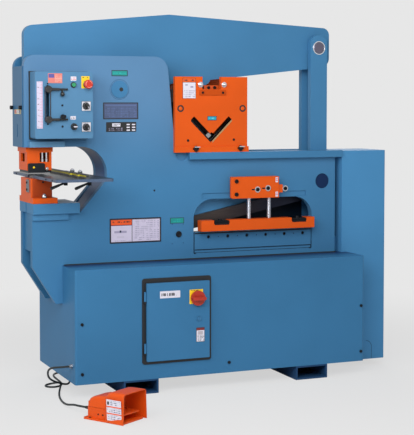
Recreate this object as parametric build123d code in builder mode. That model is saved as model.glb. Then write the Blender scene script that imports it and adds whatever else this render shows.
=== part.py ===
from build123d import *

import os
from math import cos, pi, radians, sin, tan

os.makedirs("parts", exist_ok=True)

# Hydraulic ironworker. X to the right, Y to the back, Z up, millimetres.
# The origin is on the floor, midway between the two fork tubes, under the frame's middle plane.

# Clearances
sheet_gap = 0.5
running_gap = 0.3
pin_fit = 0.05
shaft_fit = 0.1

# Fork tubes and their anchor holes
tube_spacing = 862.0
tube_width = 166.0
tube_height = 66.0
tube_wall = 8.0
anchor_inset = 60.0
anchor_hole = 18.0

# Sheet base
base_left = -740.0
base_right = 713.0
base_depth = 602.0
base_height = 512.0
base_wall = 6.0
cover_depth = 38.0
cover_sheet = 4.0
cover_edge_radius = 9.0

anchor_spacing = base_depth - 2 * anchor_inset
base_front = -base_depth / 2
base_back = base_depth / 2
base_bottom = tube_height
base_top = base_bottom + base_height
base_floor = base_bottom + base_wall
shell_front = base_front + cover_depth

# Frame plates
plate_thickness = 35.0
plate_gap = 139.0
plate_inner = plate_gap / 2
plate_outer = plate_inner + plate_thickness

head_left = -914.0
head_top = 1531.0
head_bottom = 1117.0
head_left_corner = 50.0
head_right_top = -231.0
head_right_corner = 67.0
head_right_bottom = -190.0
bed_plate_top = 1084.0
bed_plate_right = 656.0
bed_plate_corner = 12.0
jaw_left = -880.0
jaw_drop = 301.0
jaw_top = head_bottom - jaw_drop
jaw_front_bottom = 575.0
jaw_heel_x = -773.0
jaw_heel_z = 404.0

# Throat and punching station
throat_depth = 305.0
throat_radius = 125.0
throat_low_corner_drop = 152.0
throat_low_corner = head_bottom - throat_low_corner_drop
throat_low_radius = 40.0
station_x = -832.0
throat_back = station_x + throat_depth
throat_foot_x = -656.0
liner_thickness = 6.0

# Relief pocket beside the angle station
relief_x = -158.0
relief_z = 1074.0
relief_radius = 29.0
relief_depth = 8.0

# Pivots of the drive
hub_x = -465.0
hub_z = 1378.0
hub_pin_radius = 40.0
hub_boss_radius = 68.0
arm_pivot_x = -175.0
arm_pivot_z = 696.0
arm_pin_radius = 30.0
arm_boss_radius = 55.0
grease_port_radius = 11.0
link_x = 585.0
link_top_z = 1587.0
link_low_z = 933.0
link_pin_radius = 28.0
link_slack = 2.0
link_thickness = 30.0
link_inner = 34.5
link_width = 90.0
link_overhang = 62.0
link_corner = 40.0
access_hole_radius = 37.0

# Beam
beam_thickness = 40.0
beam_left = -891.0
beam_left_bottom = 1340.0
beam_left_top = 1666.0
beam_left_radius = 45.0
beam_peak_x = -188.0
beam_peak_z = 1733.0
beam_right = 664.0
beam_right_top = 1686.0
beam_right_bottom = 1496.0
beam_top_radius = 36.0
beam_heel_radius = 48.0
beam_eye_radius = 130.0
nose_x = -15.0
nose_bottom = 1400.0
nose_radius = 40.0

# Flat bar shear
window_left = -98.0
window_right = 528.0
window_bottom = 605.0
window_top = 860.0
window_radius = 95.0
window_relief = 8.0
rear_window_top = 735.0
pocket_left = -56.0
pocket_right = 496.0
pocket_top = 888.0
pocket_depth = 5.0
bed_side_gap = 5.0
bed_thickness = 39.5
bed_top = 703.0
bed_bolt_first = -21.0
bed_bolt_pitch = 100.0
bed_bolt_count = 6
bed_bolt_z = 680.0
bed_bolt_hole = 16.0
bed_bolt_depth = 14.0
shim_height = 16.0
blade_thickness = 24.7
lower_blade_height = 62.0
rake_angle = 11.5
upper_blade_height = 58.0
upper_blade_thickness = 20.0
upper_blade_start = 88.0
upper_blade_end = 716.0
arm_thickness = 40.0

# Hold-down
clamp_left = -78.0
clamp_right = 517.0
clamp_bottom = 711.0
clamp_height = 51.0
clamp_thickness = 48.0
clamp_notch_depth = 17.0
clamp_notch_width = 80.0
clamp_notch_left = 26.0
clamp_notch_right = 434.0
clamp_gap = 2.5
stud_radius = 11.0
stud_left_x = 176.0
stud_right_x = 282.0
bracket_left = 74.0
bracket_block_left = 90.0
bracket_plate = 14.0
bracket_right = 325.0
bracket_bottom = 862.0
bracket_top = 964.0
bracket_tab_right = 349.0
bracket_tab_height = 38.0
bracket_tab_drop = 9.0
bracket_tab_recess = 8.0
bracket_radius = 10.0
stud_clearance_depth = 34.0
bracket_thickness = 50.0
stud_engagement = 36.0

# Angle shear
housing_left = -200.0
housing_right = 169.0
housing_top = 1439.0
housing_plate = 23.0
housing_front = -128.0
housing_back = 128.0
flange_height = 26.0
flange_proud = 6.5
flange_side = 5.0
side_wall_top = 1320.0
side_wall_inset = 15.0
slide_left = -160.0
slide_right = 130.0
slide_top = 1399.7
slide_back = 64.0
vee_x = -16.0
vee_z = 1134.0
vee_width = 22.0
vee_reach = 104.0
vee_relief_radius = 8.0
notch_left = -62.0
notch_right = 33.0
notch_bottom = 1380.0
angle_blade_width = 25.0
angle_blade_thickness = 20.0

# Rails that carry the angle shear
rail_left = -129.0
rail_right = 682.0
rail_height = 33.0
rail_thickness = 30.0

# Cylinder, ram and punch
foot_left = -895.0
foot_right = -733.0
foot_height = 26.0
foot_front = -130.0
foot_back = 115.0
barrel_radius = 64.0
bore_radius = 50.0
barrel_rise = 203.0
barrel_top = head_bottom + barrel_rise
barrel_floor = 18.0
rod_radius = 30.0
piston_height = 90.0
piston_top_margin = 4.0
rod_drop = 37.0
rod_bottom = head_bottom - rod_drop
spigot_radius = 24.0
spigot_length = 24.0
nut_across = 72.0
nut_drop = 71.0
nut_bottom = head_bottom - nut_drop
punch_head_height = 6.0
punch_body_radius = 20.0
punch_body_drop = 86.0
punch_body_bottom = head_bottom - punch_body_drop
punch_tip_radius = 11.0
punch_tip_drop = 113.0
punch_tip_bottom = head_bottom - punch_tip_drop

# Punch guard housing under the head
guard_flange_left = -902.0
guard_flange_right = -777.0
guard_left = -896.0
guard_right = -783.0
guard_front = -85.0
guard_back = 65.0
guard_drop = 105.0
guard_bottom = head_bottom - guard_drop
guard_flange_height = 22.0
guard_wall = 10.0
guard_window_left = -838.0
guard_window_drop = 67.0
guard_window_bottom = head_bottom - guard_window_drop
guard_window_top_drop = 25.0
guard_window_top = head_bottom - guard_window_top_drop
side_window_front = -40.0
side_window_back = 30.0
side_window_drop = 29.0
side_window_top = head_bottom - side_window_drop
stripper_thickness = 10.0
stripper_hole_radius = 42.0
stripper_block_right = -817.0
stripper_block_drop = 72.0
stripper_block_top = head_bottom - stripper_block_drop
stripper_block_depth = 12.0
stripper_block_radius = 8.0
stripper_inset = 2.0
stripper_back = 60.0

# Bolster and die
bolster_right = -664.0
bolster_height = 47.0
bolster_front = -130.0
bolster_back = 115.0
bolster_skirt_right = -715.0
bolster_skirt_height = 29.0
bolster_lip = 1.0
bolster_skirt_depth = 12.0
bolster_groove_width = 16.0
bolster_groove_depth = 14.0
slug_radius = 25.0
die_flange_right = -767.0
die_flange_front = -125.0
die_flange_back = 120.0
die_flange_height = 25.0
die_block_right = -783.0
die_block_front = -100.0
die_block_back = 90.0
die_block_drop = 142.0
die_block_top = head_bottom - die_block_drop
die_block_radius = 10.0
die_shoulder = 3.0
die_screw_offset = 5.0
die_screw_drop = 16.0
die_screw_radius = 5.0
die_screw_depth = 30.0
die_radius = 30.0
die_seat_depth = 25.0
die_height = 35.0
die_bore_radius = 11.4
die_chamfer = 2.0

# Gauging table
table_left = -860.0
table_right = -600.0
table_front = -430.0
table_back = 320.0
table_thickness = 13.0
table_cut_radius = 40.0
table_corner = 12.0
fence_x = -720.0
fence_front = -430.0
fence_back = 150.0
fence_width = 12.0
fence_height = 20.0
fence_clamp_y = -200.0
fence_clamp_pitch = 120.0
fence_clamp_half = 16.0
fence_clamp_height = 16.0
fence_screw_radius = 10.0
fence_screw_height = 12.0
lever_left_x = -752.0
lever_left_y = -205.0
lever_right_x = -655.0
lever_right_y = -250.0
lever_hub_radius = 9.0
lever_hub_height = 26.0
lever_length = 74.0
lever_radius = 5.0
lever_droop = 28.0

# Control box
box_left = -888.0
box_right = -622.0
box_bottom = 1157.0
box_top = 1455.0
box_front = -200.0
box_sheet = 3.0
box_radius = 8.0
slot_x = -831.0
slot_width = 15.0
slot_bottom = 1225.0
slot_top = 1395.0
arm_high_z = 1376.0
arm_low_z = 1242.0
gauge_knob_radius = 15.0
gauge_knob_length = 22.0
gauge_arm_reach = 90.0
gauge_arm_size = 8.0
gauge_ball_x = -766.0
gauge_ball_radius = 10.0
gauge_ball_drop = 22.0
gauge_nut_radius = 13.0
gauge_nut_rise = 6.0
gauge_nut_length = 9.0
spindle_depth = 12.0
start_x = -713.0
start_z = 1396.0
start_radius = 9.0
start_travel = 4.0
start_height = 8.0
start_bevel = 1.5
button_gap = 1.0
stop_x = -650.0
stop_z = 1399.0
stop_radius = 20.0
stop_travel = 6.0
stop_collar = 14.0
stop_height = 14.0
stop_round = 6.0
button_shaft = 8.0
knob_shaft = 10.0
mode_x = -655.0
mode_high_z = 1302.0
mode_low_z = 1208.0
mode_radius = 13.0
selector_x = -711.0
selector_z = 1210.0
selector_radius = 12.0
knob_shaft_radius = 5.0
knob_height = 14.0
knob_grip_height = 12.0
knob_grip_width = 8.0
knob_grip_reach = 2.0
knob_standoff = 3.0

# Electrical enclosure
rim_left = -428.0
rim_right = -92.0
rim_bottom = 135.0
rim_top = 525.0
rim_radius = 12.0
enclosure_depth = 140.0
enclosure_wall = 3.0
rim_lap = 6.0
rim_thickness = 4.0
door_left = -410.0
door_right = -105.0
door_bottom = 149.0
door_top = 504.0
door_thickness = 14.0
door_sheet = 2.5
hinge_radius = 5.0
hinge_pin_radius = 2.5
hinge_length = 44.0
hinge_inset = 60.0
hinge_offset = 1.5
hinge_standoff = 2.0
hinge_leaf = 3.0
lug_half = 4.0
lug_height = 8.0
door_radius = 4.0
door_lap = 14.0
isolator_x = -166.0
isolator_z = 427.0
isolator_radius = 34.0
isolator_hub_height = 12.0
isolator_grip_height = 20.0
isolator_grip_width = 16.0
isolator_grip_inset = 2.0
isolator_shaft = 6.0
latch_x = -158.0
latch_z = 331.0
latch_radius = 9.0
latch_height = 5.0
latch_gap = 1.0
latch_shaft = 4.0
latch_cam = 3.0
latch_cam_reach = 22.0
latch_cam_half = 6.0
latch_groove = 3.0
latch_groove_depth = 2.0

# Right-hand column
column_left = 684.0
column_right = 930.0
column_front = -125.0
column_back = 125.0
column_bottom = 32.0
column_top = 1081.0
column_wall = 5.0
column_radius = 8.0

# Tank and power pack in the base
tank_left = -620.0
tank_right = 40.0
tank_plate_gap = 11.5
tank_back_gap = 15.0
tank_front = plate_outer + tank_plate_gap
tank_back = base_back - tank_back_gap
tank_height = 340.0
tank_wall = 4.0
filler_inset = 80.0
filler_radius = 26.0
filler_height = 30.0
motor_left = 40.0
motor_length = 300.0
motor_room = 40.5
motor_plate_gap = 5.5
motor_radius = (base_depth / 2 - plate_outer - motor_room) / 2
motor_y = -plate_outer - motor_plate_gap - motor_radius
motor_axis_height = 96.0
pump_length = 90.0
pump_step = 30.0
pump_radius = motor_radius - pump_step
motor_foot_inset = 30.0
motor_foot_half = 60.0
motor_foot_height = 40.0

# Cover screws
screw_left = -709.0
screw_right = 697.0
screw_high_z = 336.0
screw_low_z = 113.0
screw_head_radius = 7.0
screw_head_height = 4.0
screw_radius = 3.5
screw_length = 12.0

# Foot switch
cord_diameter = 9.0
gland_setback = 51.0
gland_y = base_front + gland_setback
gland_z = 143.0
gland_radius = 11.0
gland_length = 14.0
gland_neck = 8.0
gland_bore = 3.5
pedal_x = -737.0
pedal_y = -598.0
pedal_turn = -57.0
pedal_length = 205.0
pedal_width = 161.0
pedal_wall = 4.0
pedal_floor = 8.0
pedal_floor_start = -13.0
pedal_body_start = 0.0
pedal_body_width = 124.0
pedal_seam = 52.0
pedal_body_top = 96.0
hood_start = 100.0
hood_back_height = 104.0
hood_brow = 112.0
hood_brow_height = 122.0
hood_crown = 140.0
hood_crown_height = 129.0
hood_edge_radius = 8.0
hood_foot_gap = 2.0
treadle_start = 112.0
treadle_length = 74.0
treadle_width = 104.0
treadle_height = 34.0
treadle_thickness = 5.0
treadle_pin_radius = 3.0
relief_length = 60.0
relief_height = 28.0
relief_start_radius = 6.5
relief_end_radius = 10.0


# Helpers for blocks and round bars in the current part
def front_plane(y):
    """Upright drawing plane at depth y, seen from the front."""
    return Plane.XZ.offset(-y)


def side_plane(x):
    """Upright drawing plane across the machine at x, with Y across and Z up."""
    return Plane.YZ.offset(x)


def block(left, right, front, back, bottom, top, mode=Mode.ADD):
    """Rectangular block between six faces."""
    with Locations(((left + right) / 2, (front + back) / 2, (bottom + top) / 2)):
        Box(right - left, back - front, top - bottom, mode=mode)


def cross_bar(x, z, radius, front, back, mode=Mode.ADD):
    """Round bar or bore along Y."""
    with Locations((x, (front + back) / 2, z)):
        Cylinder(radius, back - front, rotation=(90, 0, 0), mode=mode)


def long_bar(y, z, radius, left, right, mode=Mode.ADD):
    """Round bar or bore along X."""
    with Locations(((left + right) / 2, y, z)):
        Cylinder(radius, right - left, rotation=(0, 90, 0), mode=mode)


def upright(x, y, radius, bottom, top, mode=Mode.ADD):
    """Round bar or bore along Z."""
    with Locations((x, y, (bottom + top) / 2)):
        Cylinder(radius, top - bottom, mode=mode)


def corner(profile, x, y):
    """Vertex of a flat profile nearest to a point."""
    return profile.vertices().sort_by_distance((x, y, 0))[0]


# Outer profile shared by both frame plates
frame_points = [
    (head_left, head_bottom),
    (head_left, head_top),
    (head_right_top, head_top),
    (head_right_bottom, bed_plate_top),
    (bed_plate_right, bed_plate_top),
    (bed_plate_right, base_floor),
    (base_left + base_wall + sheet_gap, base_floor),
    (base_left + base_wall + sheet_gap, jaw_heel_z),
    (jaw_heel_x, jaw_heel_z),
    (jaw_left, jaw_front_bottom),
    (jaw_left, jaw_top),
    (throat_foot_x, jaw_top),
    (throat_back, throat_low_corner),
    (throat_back, head_bottom),
]
frame_rounds = [
    (head_left, head_top, head_left_corner),
    (head_right_top, head_top, head_right_corner),
    (bed_plate_right, bed_plate_top, bed_plate_corner),
    (jaw_heel_x, jaw_heel_z, bed_plate_corner),
    (throat_back, throat_low_corner, throat_low_radius),
    (throat_back, head_bottom, throat_radius),
]

with BuildSketch() as frame_profile:
    with BuildLine():
        Polyline(*frame_points, close=True)
    make_face()
    for round_x, round_z, round_radius in frame_rounds:
        fillet(corner(frame_profile, round_x, round_z), round_radius)
    with Locations(((foot_left + foot_right) / 2, head_bottom + foot_height / 2)):
        Rectangle(foot_right - foot_left, foot_height, mode=Mode.SUBTRACT)
    with Locations((hub_x, hub_z)):
        Circle(hub_pin_radius + pin_fit, mode=Mode.SUBTRACT)
    with Locations((link_x, link_low_z)):
        Circle(access_hole_radius, mode=Mode.SUBTRACT)
    with Locations((arm_pivot_x, arm_pivot_z)):
        Circle(grease_port_radius + pin_fit, mode=Mode.SUBTRACT)

# Front frame plate, with the shear window, the milled pocket above it and the relief pocket
window_x = (window_left + window_right) / 2
window_width = window_right - window_left

with BuildPart() as front_frame_plate:
    with BuildSketch(front_plane(-plate_inner)):
        add(frame_profile.sketch)
        with Locations((window_x, (window_bottom + window_top) / 2)):
            Rectangle(window_width, window_top - window_bottom, mode=Mode.SUBTRACT)
        with Locations(
            (window_left + window_relief, window_bottom + window_relief / 2),
            (window_right - window_relief, window_bottom + window_relief / 2),
        ):
            Circle(window_relief, mode=Mode.SUBTRACT)
    extrude(amount=plate_thickness)
    window_corners = front_frame_plate.edges().filter_by(Axis.Y).filter_by_position(
        Axis.Z, window_top - 1, window_top + 1
    )
    fillet(window_corners.filter_by_position(Axis.X, window_left - 1, window_right + 1), window_radius)
    with BuildSketch(front_plane(-plate_outer + pocket_depth)):
        with Locations(((pocket_left + pocket_right) / 2, (window_top + pocket_top) / 2)):
            RectangleRounded(pocket_right - pocket_left, pocket_top - window_top, window_relief)
    extrude(amount=pocket_depth, mode=Mode.SUBTRACT)
    with BuildSketch(front_plane(-plate_outer + relief_depth)):
        with Locations((relief_x, relief_z)):
            Circle(relief_radius)
        with Locations((relief_x, relief_z + relief_radius)):
            Rectangle(2 * relief_radius, 2 * relief_radius)
    extrude(amount=relief_depth, mode=Mode.SUBTRACT)

front_frame_plate.part.label = "front_frame_plate"
export_step(front_frame_plate.part, "parts/front_frame_plate.step")

# Rear frame plate, with a low slot where cut bars fall out
with BuildPart() as rear_frame_plate:
    with BuildSketch(front_plane(plate_outer)):
        add(frame_profile.sketch)
        with Locations((window_x, (window_bottom + rear_window_top) / 2)):
            RectangleRounded(
                window_width, rear_window_top - window_bottom, window_relief, mode=Mode.SUBTRACT
            )
    extrude(amount=plate_thickness)

rear_frame_plate.part.label = "rear_frame_plate"
export_step(rear_frame_plate.part, "parts/rear_frame_plate.step")

# Spacer blocks between the plates: jaw, bottom, throat back and right-hand end
spacer_half = plate_inner
jaw_block_left = jaw_left + 10
jaw_block_bottom = 640.0
bottom_block_left = -700.0
bottom_block_right = 640.0
bottom_block_height = 40.0
back_block_left = -505.0
back_block_right = -430.0
back_block_bottom = 850.0
back_block_top = 1080.0
end_block_left = 636.0
end_block_bottom = 180.0
end_block_top = 650.0

with BuildPart() as frame_spacers:
    block(jaw_block_left, throat_foot_x - liner_thickness, -spacer_half, spacer_half,
          jaw_block_bottom, jaw_top)
    upright(station_x, 0, slug_radius, jaw_block_bottom, jaw_top, mode=Mode.SUBTRACT)
    block(bottom_block_left, bottom_block_right, -spacer_half, spacer_half,
          base_floor, base_floor + bottom_block_height)
    block(back_block_left, back_block_right, -spacer_half, spacer_half,
          back_block_bottom, back_block_top)
    block(end_block_left, bed_plate_right, -spacer_half, spacer_half,
          end_block_bottom, end_block_top)
    block(bed_plate_right, column_left, -spacer_half, spacer_half, base_top, end_block_top)

frame_spacers.part.label = "frame_spacers"
export_step(frame_spacers.part, "parts/frame_spacers.step")

# Throat liner, bent to the throat's outline between the plates
liner_middle = liner_thickness / 2
liner_drop = 1.0
with BuildPart() as throat_liner:
    with BuildSketch(front_plane(plate_inner)):
        with BuildLine() as liner_path:
            FilletPolyline(
                (foot_right, head_bottom + liner_middle),
                (throat_back + liner_middle, head_bottom + liner_middle),
                (throat_back + liner_middle, throat_low_corner - liner_drop),
                (throat_foot_x + liner_thickness, jaw_top - liner_thickness),
                radius=[throat_radius + liner_middle, throat_low_radius + liner_middle],
            )
        trace(line_width=liner_thickness)
    extrude(amount=plate_gap)

throat_liner.part.label = "throat_liner"
export_step(throat_liner.part, "parts/throat_liner.step")

# Nose cover over the left end of the head
nose_sheet = 4.0
nose_half_width = 90.0
nose_slot_z = 1190.0
nose_slot_length = 60.0
nose_slot_width = 12.0
nose_knob_z = 1295.0
nose_knob_inset = 10.0
nose_knob_radius = 9.0
nose_knob_length = 14.0
with BuildPart() as nose_cover:
    block(head_left - nose_sheet, head_left, -nose_half_width, nose_half_width,
          head_bottom, head_top - head_left_corner)
    with BuildSketch(side_plane(head_left)):
        with Locations((0, nose_slot_z)):
            SlotOverall(nose_slot_length, nose_slot_width, rotation=90)
    extrude(amount=-nose_sheet, mode=Mode.SUBTRACT)
    for knob_y in (-nose_half_width + nose_knob_inset, nose_half_width - nose_knob_inset):
        long_bar(knob_y, nose_knob_z, nose_knob_radius, head_left - nose_sheet - nose_knob_length,
                 head_left - nose_sheet)

nose_cover.part.label = "nose_cover"
export_step(nose_cover.part, "parts/nose_cover.step")

# Pins held in the frame plates
pin_proud = 3.0
pin_chamfer = 2.0
tap_offset = 8.0
tap_radius = 7.0
tap_depth = 12.0
with BuildPart() as main_pivot_pin:
    cross_bar(hub_x, hub_z, hub_pin_radius, -plate_outer - pin_proud, plate_outer + pin_proud)
    with Locations(Location((hub_x + tap_offset, -plate_outer - pin_proud, hub_z), (90, 0, 0))):
        Hole(tap_radius, tap_depth)
    chamfer(main_pivot_pin.edges().filter_by(GeomType.CIRCLE).group_by(Axis.Y)[-1], pin_chamfer)

main_pivot_pin.part.label = "main_pivot_pin"
export_step(main_pivot_pin.part, "parts/main_pivot_pin.step")

with BuildPart() as arm_pivot_pin:
    cross_bar(arm_pivot_x, arm_pivot_z, arm_pin_radius, -plate_inner, plate_inner)
    cross_bar(arm_pivot_x, arm_pivot_z, grease_port_radius, -plate_outer - pin_proud,
              plate_outer + pin_proud)

arm_pivot_pin.part.label = "arm_pivot_pin"
export_step(arm_pivot_pin.part, "parts/arm_pivot_pin.step")

# Rails on both faces of the bed plates
with BuildPart() as module_rails:
    block(rail_left, rail_right, -plate_outer - rail_thickness, -plate_outer,
          bed_plate_top - rail_height, bed_plate_top)
    block(rail_left, bed_plate_right, plate_outer, plate_outer + rail_thickness,
          bed_plate_top - rail_height, bed_plate_top)

module_rails.part.label = "module_rails"
export_step(module_rails.part, "parts/module_rails.step")

# Lower blade bed in the window, on its shim, with six counterbored bolts
bed_left = window_left + bed_side_gap
bed_right = window_right - bed_side_gap
bed_back = -plate_outer + bed_thickness
shim_recess = 3.0
with BuildPart() as lower_blade_bed:
    block(bed_left, bed_right, -plate_outer, bed_back, window_bottom, bed_top)
    block(bed_left, bed_right, -plate_outer, -plate_outer + shim_recess, window_bottom,
          window_bottom + shim_height, mode=Mode.SUBTRACT)
    with BuildSketch(front_plane(-plate_outer)):
        for bolt_index in range(bed_bolt_count):
            with Locations((bed_bolt_first + bolt_index * bed_bolt_pitch, bed_bolt_z)):
                Circle(bed_bolt_hole / 2)
    extrude(amount=-bed_bolt_depth, mode=Mode.SUBTRACT)

lower_blade_bed.part.label = "lower_blade_bed"
export_step(lower_blade_bed.part, "parts/lower_blade_bed.step")

# Lower shear blade on the back of the bed
lower_blade_back = bed_back + blade_thickness
with BuildPart() as lower_shear_blade:
    block(bed_left, bed_right, bed_back, lower_blade_back, bed_top - lower_blade_height, bed_top)
    chamfer(lower_shear_blade.edges().filter_by(Axis.X).group_by(Axis.Z)[0], pin_chamfer)

lower_shear_blade.part.label = "lower_shear_blade"
export_step(lower_shear_blade.part, "parts/lower_shear_blade.step")


# Rocking shear arm, hung from the links and turning on its pin
def rake_point(distance, height):
    """Point at a distance along the cutting edge from the arm pivot, and a height above it."""
    angle = radians(rake_angle)
    return (
        arm_pivot_x + distance * cos(angle) - height * sin(angle),
        arm_pivot_z + distance * sin(angle) + height * cos(angle),
    )


arm_half = arm_thickness / 2
arm_edge_gap = 6.0
arm_top = bed_plate_top - 32.0
arm_right = link_x + 52.0
arm_heel = 130.0
arm_shoulder_x = arm_pivot_x + 30.0
arm_shoulder_rise = 215.0
arm_shoulder_z = arm_pivot_z + arm_shoulder_rise
arm_crown_reach = 200.0
arm_crown_left = link_x - arm_crown_reach
arm_crown_right = link_x - 30.0
arm_nose_rise = 60.0
arm_nose_drop = 30.0
arm_overrun = 20.0
arm_boss_step = 5.0
with BuildPart() as shear_arm:
    with BuildSketch(front_plane(arm_half)) as arm_face:
        with BuildLine():
            Polyline(
                rake_point(0, arm_edge_gap),
                (arm_pivot_x - arm_boss_radius, arm_pivot_z),
                (arm_pivot_x - arm_boss_radius, arm_pivot_z + arm_heel),
                (arm_shoulder_x, arm_shoulder_z),
                (arm_crown_left, arm_top),
                (arm_crown_right, arm_top),
                (arm_right, link_low_z + arm_nose_rise),
                (arm_right, link_low_z - arm_nose_drop),
                rake_point(upper_blade_end + arm_overrun, arm_edge_gap),
                close=True,
            )
        make_face()
        with Locations((arm_pivot_x, arm_pivot_z)):
            Circle(arm_boss_radius)
    extrude(amount=arm_thickness)
    cross_bar(arm_pivot_x, arm_pivot_z, arm_boss_radius - arm_boss_step, -plate_inner + running_gap,
              plate_inner - running_gap)
    cross_bar(arm_pivot_x, arm_pivot_z, arm_pin_radius + shaft_fit, -plate_outer, plate_outer,
              mode=Mode.SUBTRACT)
    cross_bar(link_x, link_low_z, link_pin_radius + pin_fit, -plate_outer, plate_outer,
              mode=Mode.SUBTRACT)

shear_arm.part.label = "shear_arm"
export_step(shear_arm.part, "parts/shear_arm.step")

with BuildPart() as upper_shear_blade:
    with BuildSketch(front_plane(-arm_half)):
        with BuildLine():
            Polyline(
                rake_point(upper_blade_start, 0),
                rake_point(upper_blade_end, 0),
                rake_point(upper_blade_end, upper_blade_height),
                rake_point(upper_blade_start, upper_blade_height),
                close=True,
            )
        make_face()
    extrude(amount=upper_blade_thickness)

upper_shear_blade.part.label = "upper_shear_blade"
export_step(upper_shear_blade.part, "parts/upper_shear_blade.step")

# Link pins: the upper one is pressed in the beam, the lower one in the arm
link_outer = link_inner + link_thickness
pin_end = link_outer + pin_proud
with BuildPart() as upper_link_pin:
    cross_bar(link_x, link_top_z, link_pin_radius, -pin_end, pin_end)
    chamfer(upper_link_pin.edges().filter_by(GeomType.CIRCLE), pin_chamfer)

upper_link_pin.part.label = "upper_link_pin"
export_step(upper_link_pin.part, "parts/upper_link_pin.step")

with BuildPart() as lower_link_pin:
    cross_bar(link_x, link_low_z, link_pin_radius, -pin_end, pin_end)
    chamfer(lower_link_pin.edges().filter_by(GeomType.CIRCLE), pin_chamfer)

lower_link_pin.part.label = "lower_link_pin"
export_step(lower_link_pin.part, "parts/lower_link_pin.step")

# Pair of links with their inner bosses
link_boss_inner = beam_thickness / 2 + running_gap
link_boss_radius = 42.0
link_middle = (link_top_z + link_low_z) / 2
with BuildPart() as shear_links:
    with BuildSketch(front_plane(-link_inner)):
        with Locations((link_x, link_middle)):
            RectangleRounded(link_width, link_top_z - link_low_z + 2 * link_overhang, link_corner)
    extrude(amount=link_thickness)
    cross_bar(link_x, link_top_z, link_boss_radius, -link_inner, -link_boss_inner)
    cross_bar(link_x, link_low_z, link_boss_radius, -link_inner, -link_boss_inner)
    mirror(about=Plane.XZ)
    cross_bar(link_x, link_top_z, link_pin_radius + shaft_fit, -link_outer, link_outer,
              mode=Mode.SUBTRACT)
    cross_bar(link_x, link_low_z, link_pin_radius + link_slack, -link_outer, link_outer,
              mode=Mode.SUBTRACT)

shear_links.part.label = "shear_links"
export_step(shear_links.part, "parts/shear_links.step")

# Rocking beam
beam_half = beam_thickness / 2
underside_slope = 0.1077
nose_shoulder = 160.0
nose_shoulder_drop = 15.0
eye_right = 150.0
eye_right_drop = 43.0
eye_left = 135.0
eye_left_drop = 88.0
heel_reach = 275.0


def underside(x):
    """Height of the beam's lower edge to the right of the nose."""
    return beam_right_bottom - underside_slope * (beam_right - x)


beam_rounds = [
    (beam_left, beam_left_top, beam_left_radius),
    (beam_right, beam_right_top, beam_top_radius),
    (beam_right, beam_right_bottom, beam_heel_radius),
]
with BuildPart() as beam:
    with BuildSketch(front_plane(beam_half)):
        with BuildSketch() as beam_face:
            with BuildLine():
                Polyline(
                    (beam_left, beam_left_bottom),
                    (beam_left, beam_left_top),
                    (beam_peak_x, beam_peak_z),
                    (beam_right, beam_right_top),
                    (beam_right, beam_right_bottom),
                    (nose_x + nose_radius, underside(nose_x + nose_radius)),
                    (nose_x - nose_shoulder, underside(nose_x) - nose_shoulder_drop),
                    (hub_x + eye_right, hub_z - eye_right_drop),
                    (hub_x - eye_left, hub_z - eye_left_drop),
                    (hub_x - heel_reach, beam_left_bottom),
                    close=True,
                )
            make_face()
            for round_x, round_z, round_radius in beam_rounds:
                fillet(corner(beam_face, round_x, round_z), round_radius)
            with Locations((hub_x, hub_z)):
                Circle(beam_eye_radius)
            with Locations((nose_x, nose_bottom + nose_radius)):
                Circle(nose_radius)
    extrude(amount=beam_thickness)
    cross_bar(hub_x, hub_z, hub_boss_radius, -plate_inner + running_gap, plate_inner - running_gap)
    cross_bar(hub_x, hub_z, hub_pin_radius + shaft_fit, -plate_outer, plate_outer,
              mode=Mode.SUBTRACT)
    cross_bar(link_x, link_top_z, link_pin_radius + pin_fit, -plate_outer, plate_outer,
              mode=Mode.SUBTRACT)

beam.part.label = "beam"
export_step(beam.part, "parts/beam.step")

# Cylinder: a foot keyed into both frame plates, with the barrel between them
foot_top = head_bottom + foot_height
with BuildPart() as cylinder_barrel:
    block(foot_left, foot_right, foot_front, foot_back, head_bottom, foot_top)
    upright(station_x, 0, barrel_radius, foot_top, barrel_top)
    upright(station_x, 0, bore_radius, foot_top + barrel_floor, barrel_top, mode=Mode.SUBTRACT)
    upright(station_x, 0, rod_radius + running_gap, head_bottom, barrel_top, mode=Mode.SUBTRACT)

cylinder_barrel.part.label = "cylinder_barrel"
export_step(cylinder_barrel.part, "parts/cylinder_barrel.step")

# Ram with its piston
piston_top = barrel_top - piston_top_margin
with BuildPart() as punch_ram:
    upright(station_x, 0, rod_radius, rod_bottom, beam_left_bottom - sheet_gap)
    upright(station_x, 0, bore_radius - running_gap, piston_top - piston_height, piston_top)
    upright(station_x, 0, spigot_radius, rod_bottom - spigot_length, rod_bottom)

punch_ram.part.label = "punch_ram"
export_step(punch_ram.part, "parts/punch_ram.step")

# Hexagon coupling nut that holds the punch
punch_head_bottom = rod_bottom - spigot_length - punch_head_height
with BuildPart() as punch_nut:
    with BuildSketch(Plane.XY.offset(nut_bottom)):
        with Locations((station_x, 0)):
            RegularPolygon(nut_across / 2, 6, major_radius=False, rotation=30)
    extrude(amount=rod_bottom - sheet_gap - nut_bottom)
    upright(station_x, 0, spigot_radius + shaft_fit, punch_head_bottom, rod_bottom,
            mode=Mode.SUBTRACT)
    upright(station_x, 0, punch_body_radius + shaft_fit, nut_bottom, punch_head_bottom,
            mode=Mode.SUBTRACT)

punch_nut.part.label = "punch_nut"
export_step(punch_nut.part, "parts/punch_nut.step")

with BuildPart() as punch:
    upright(station_x, 0, spigot_radius, punch_head_bottom, punch_head_bottom + punch_head_height)
    upright(station_x, 0, punch_body_radius, punch_body_bottom, punch_head_bottom)
    upright(station_x, 0, punch_tip_radius, punch_tip_bottom, punch_body_bottom)

punch.part.label = "punch"
export_step(punch.part, "parts/punch.step")

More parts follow.
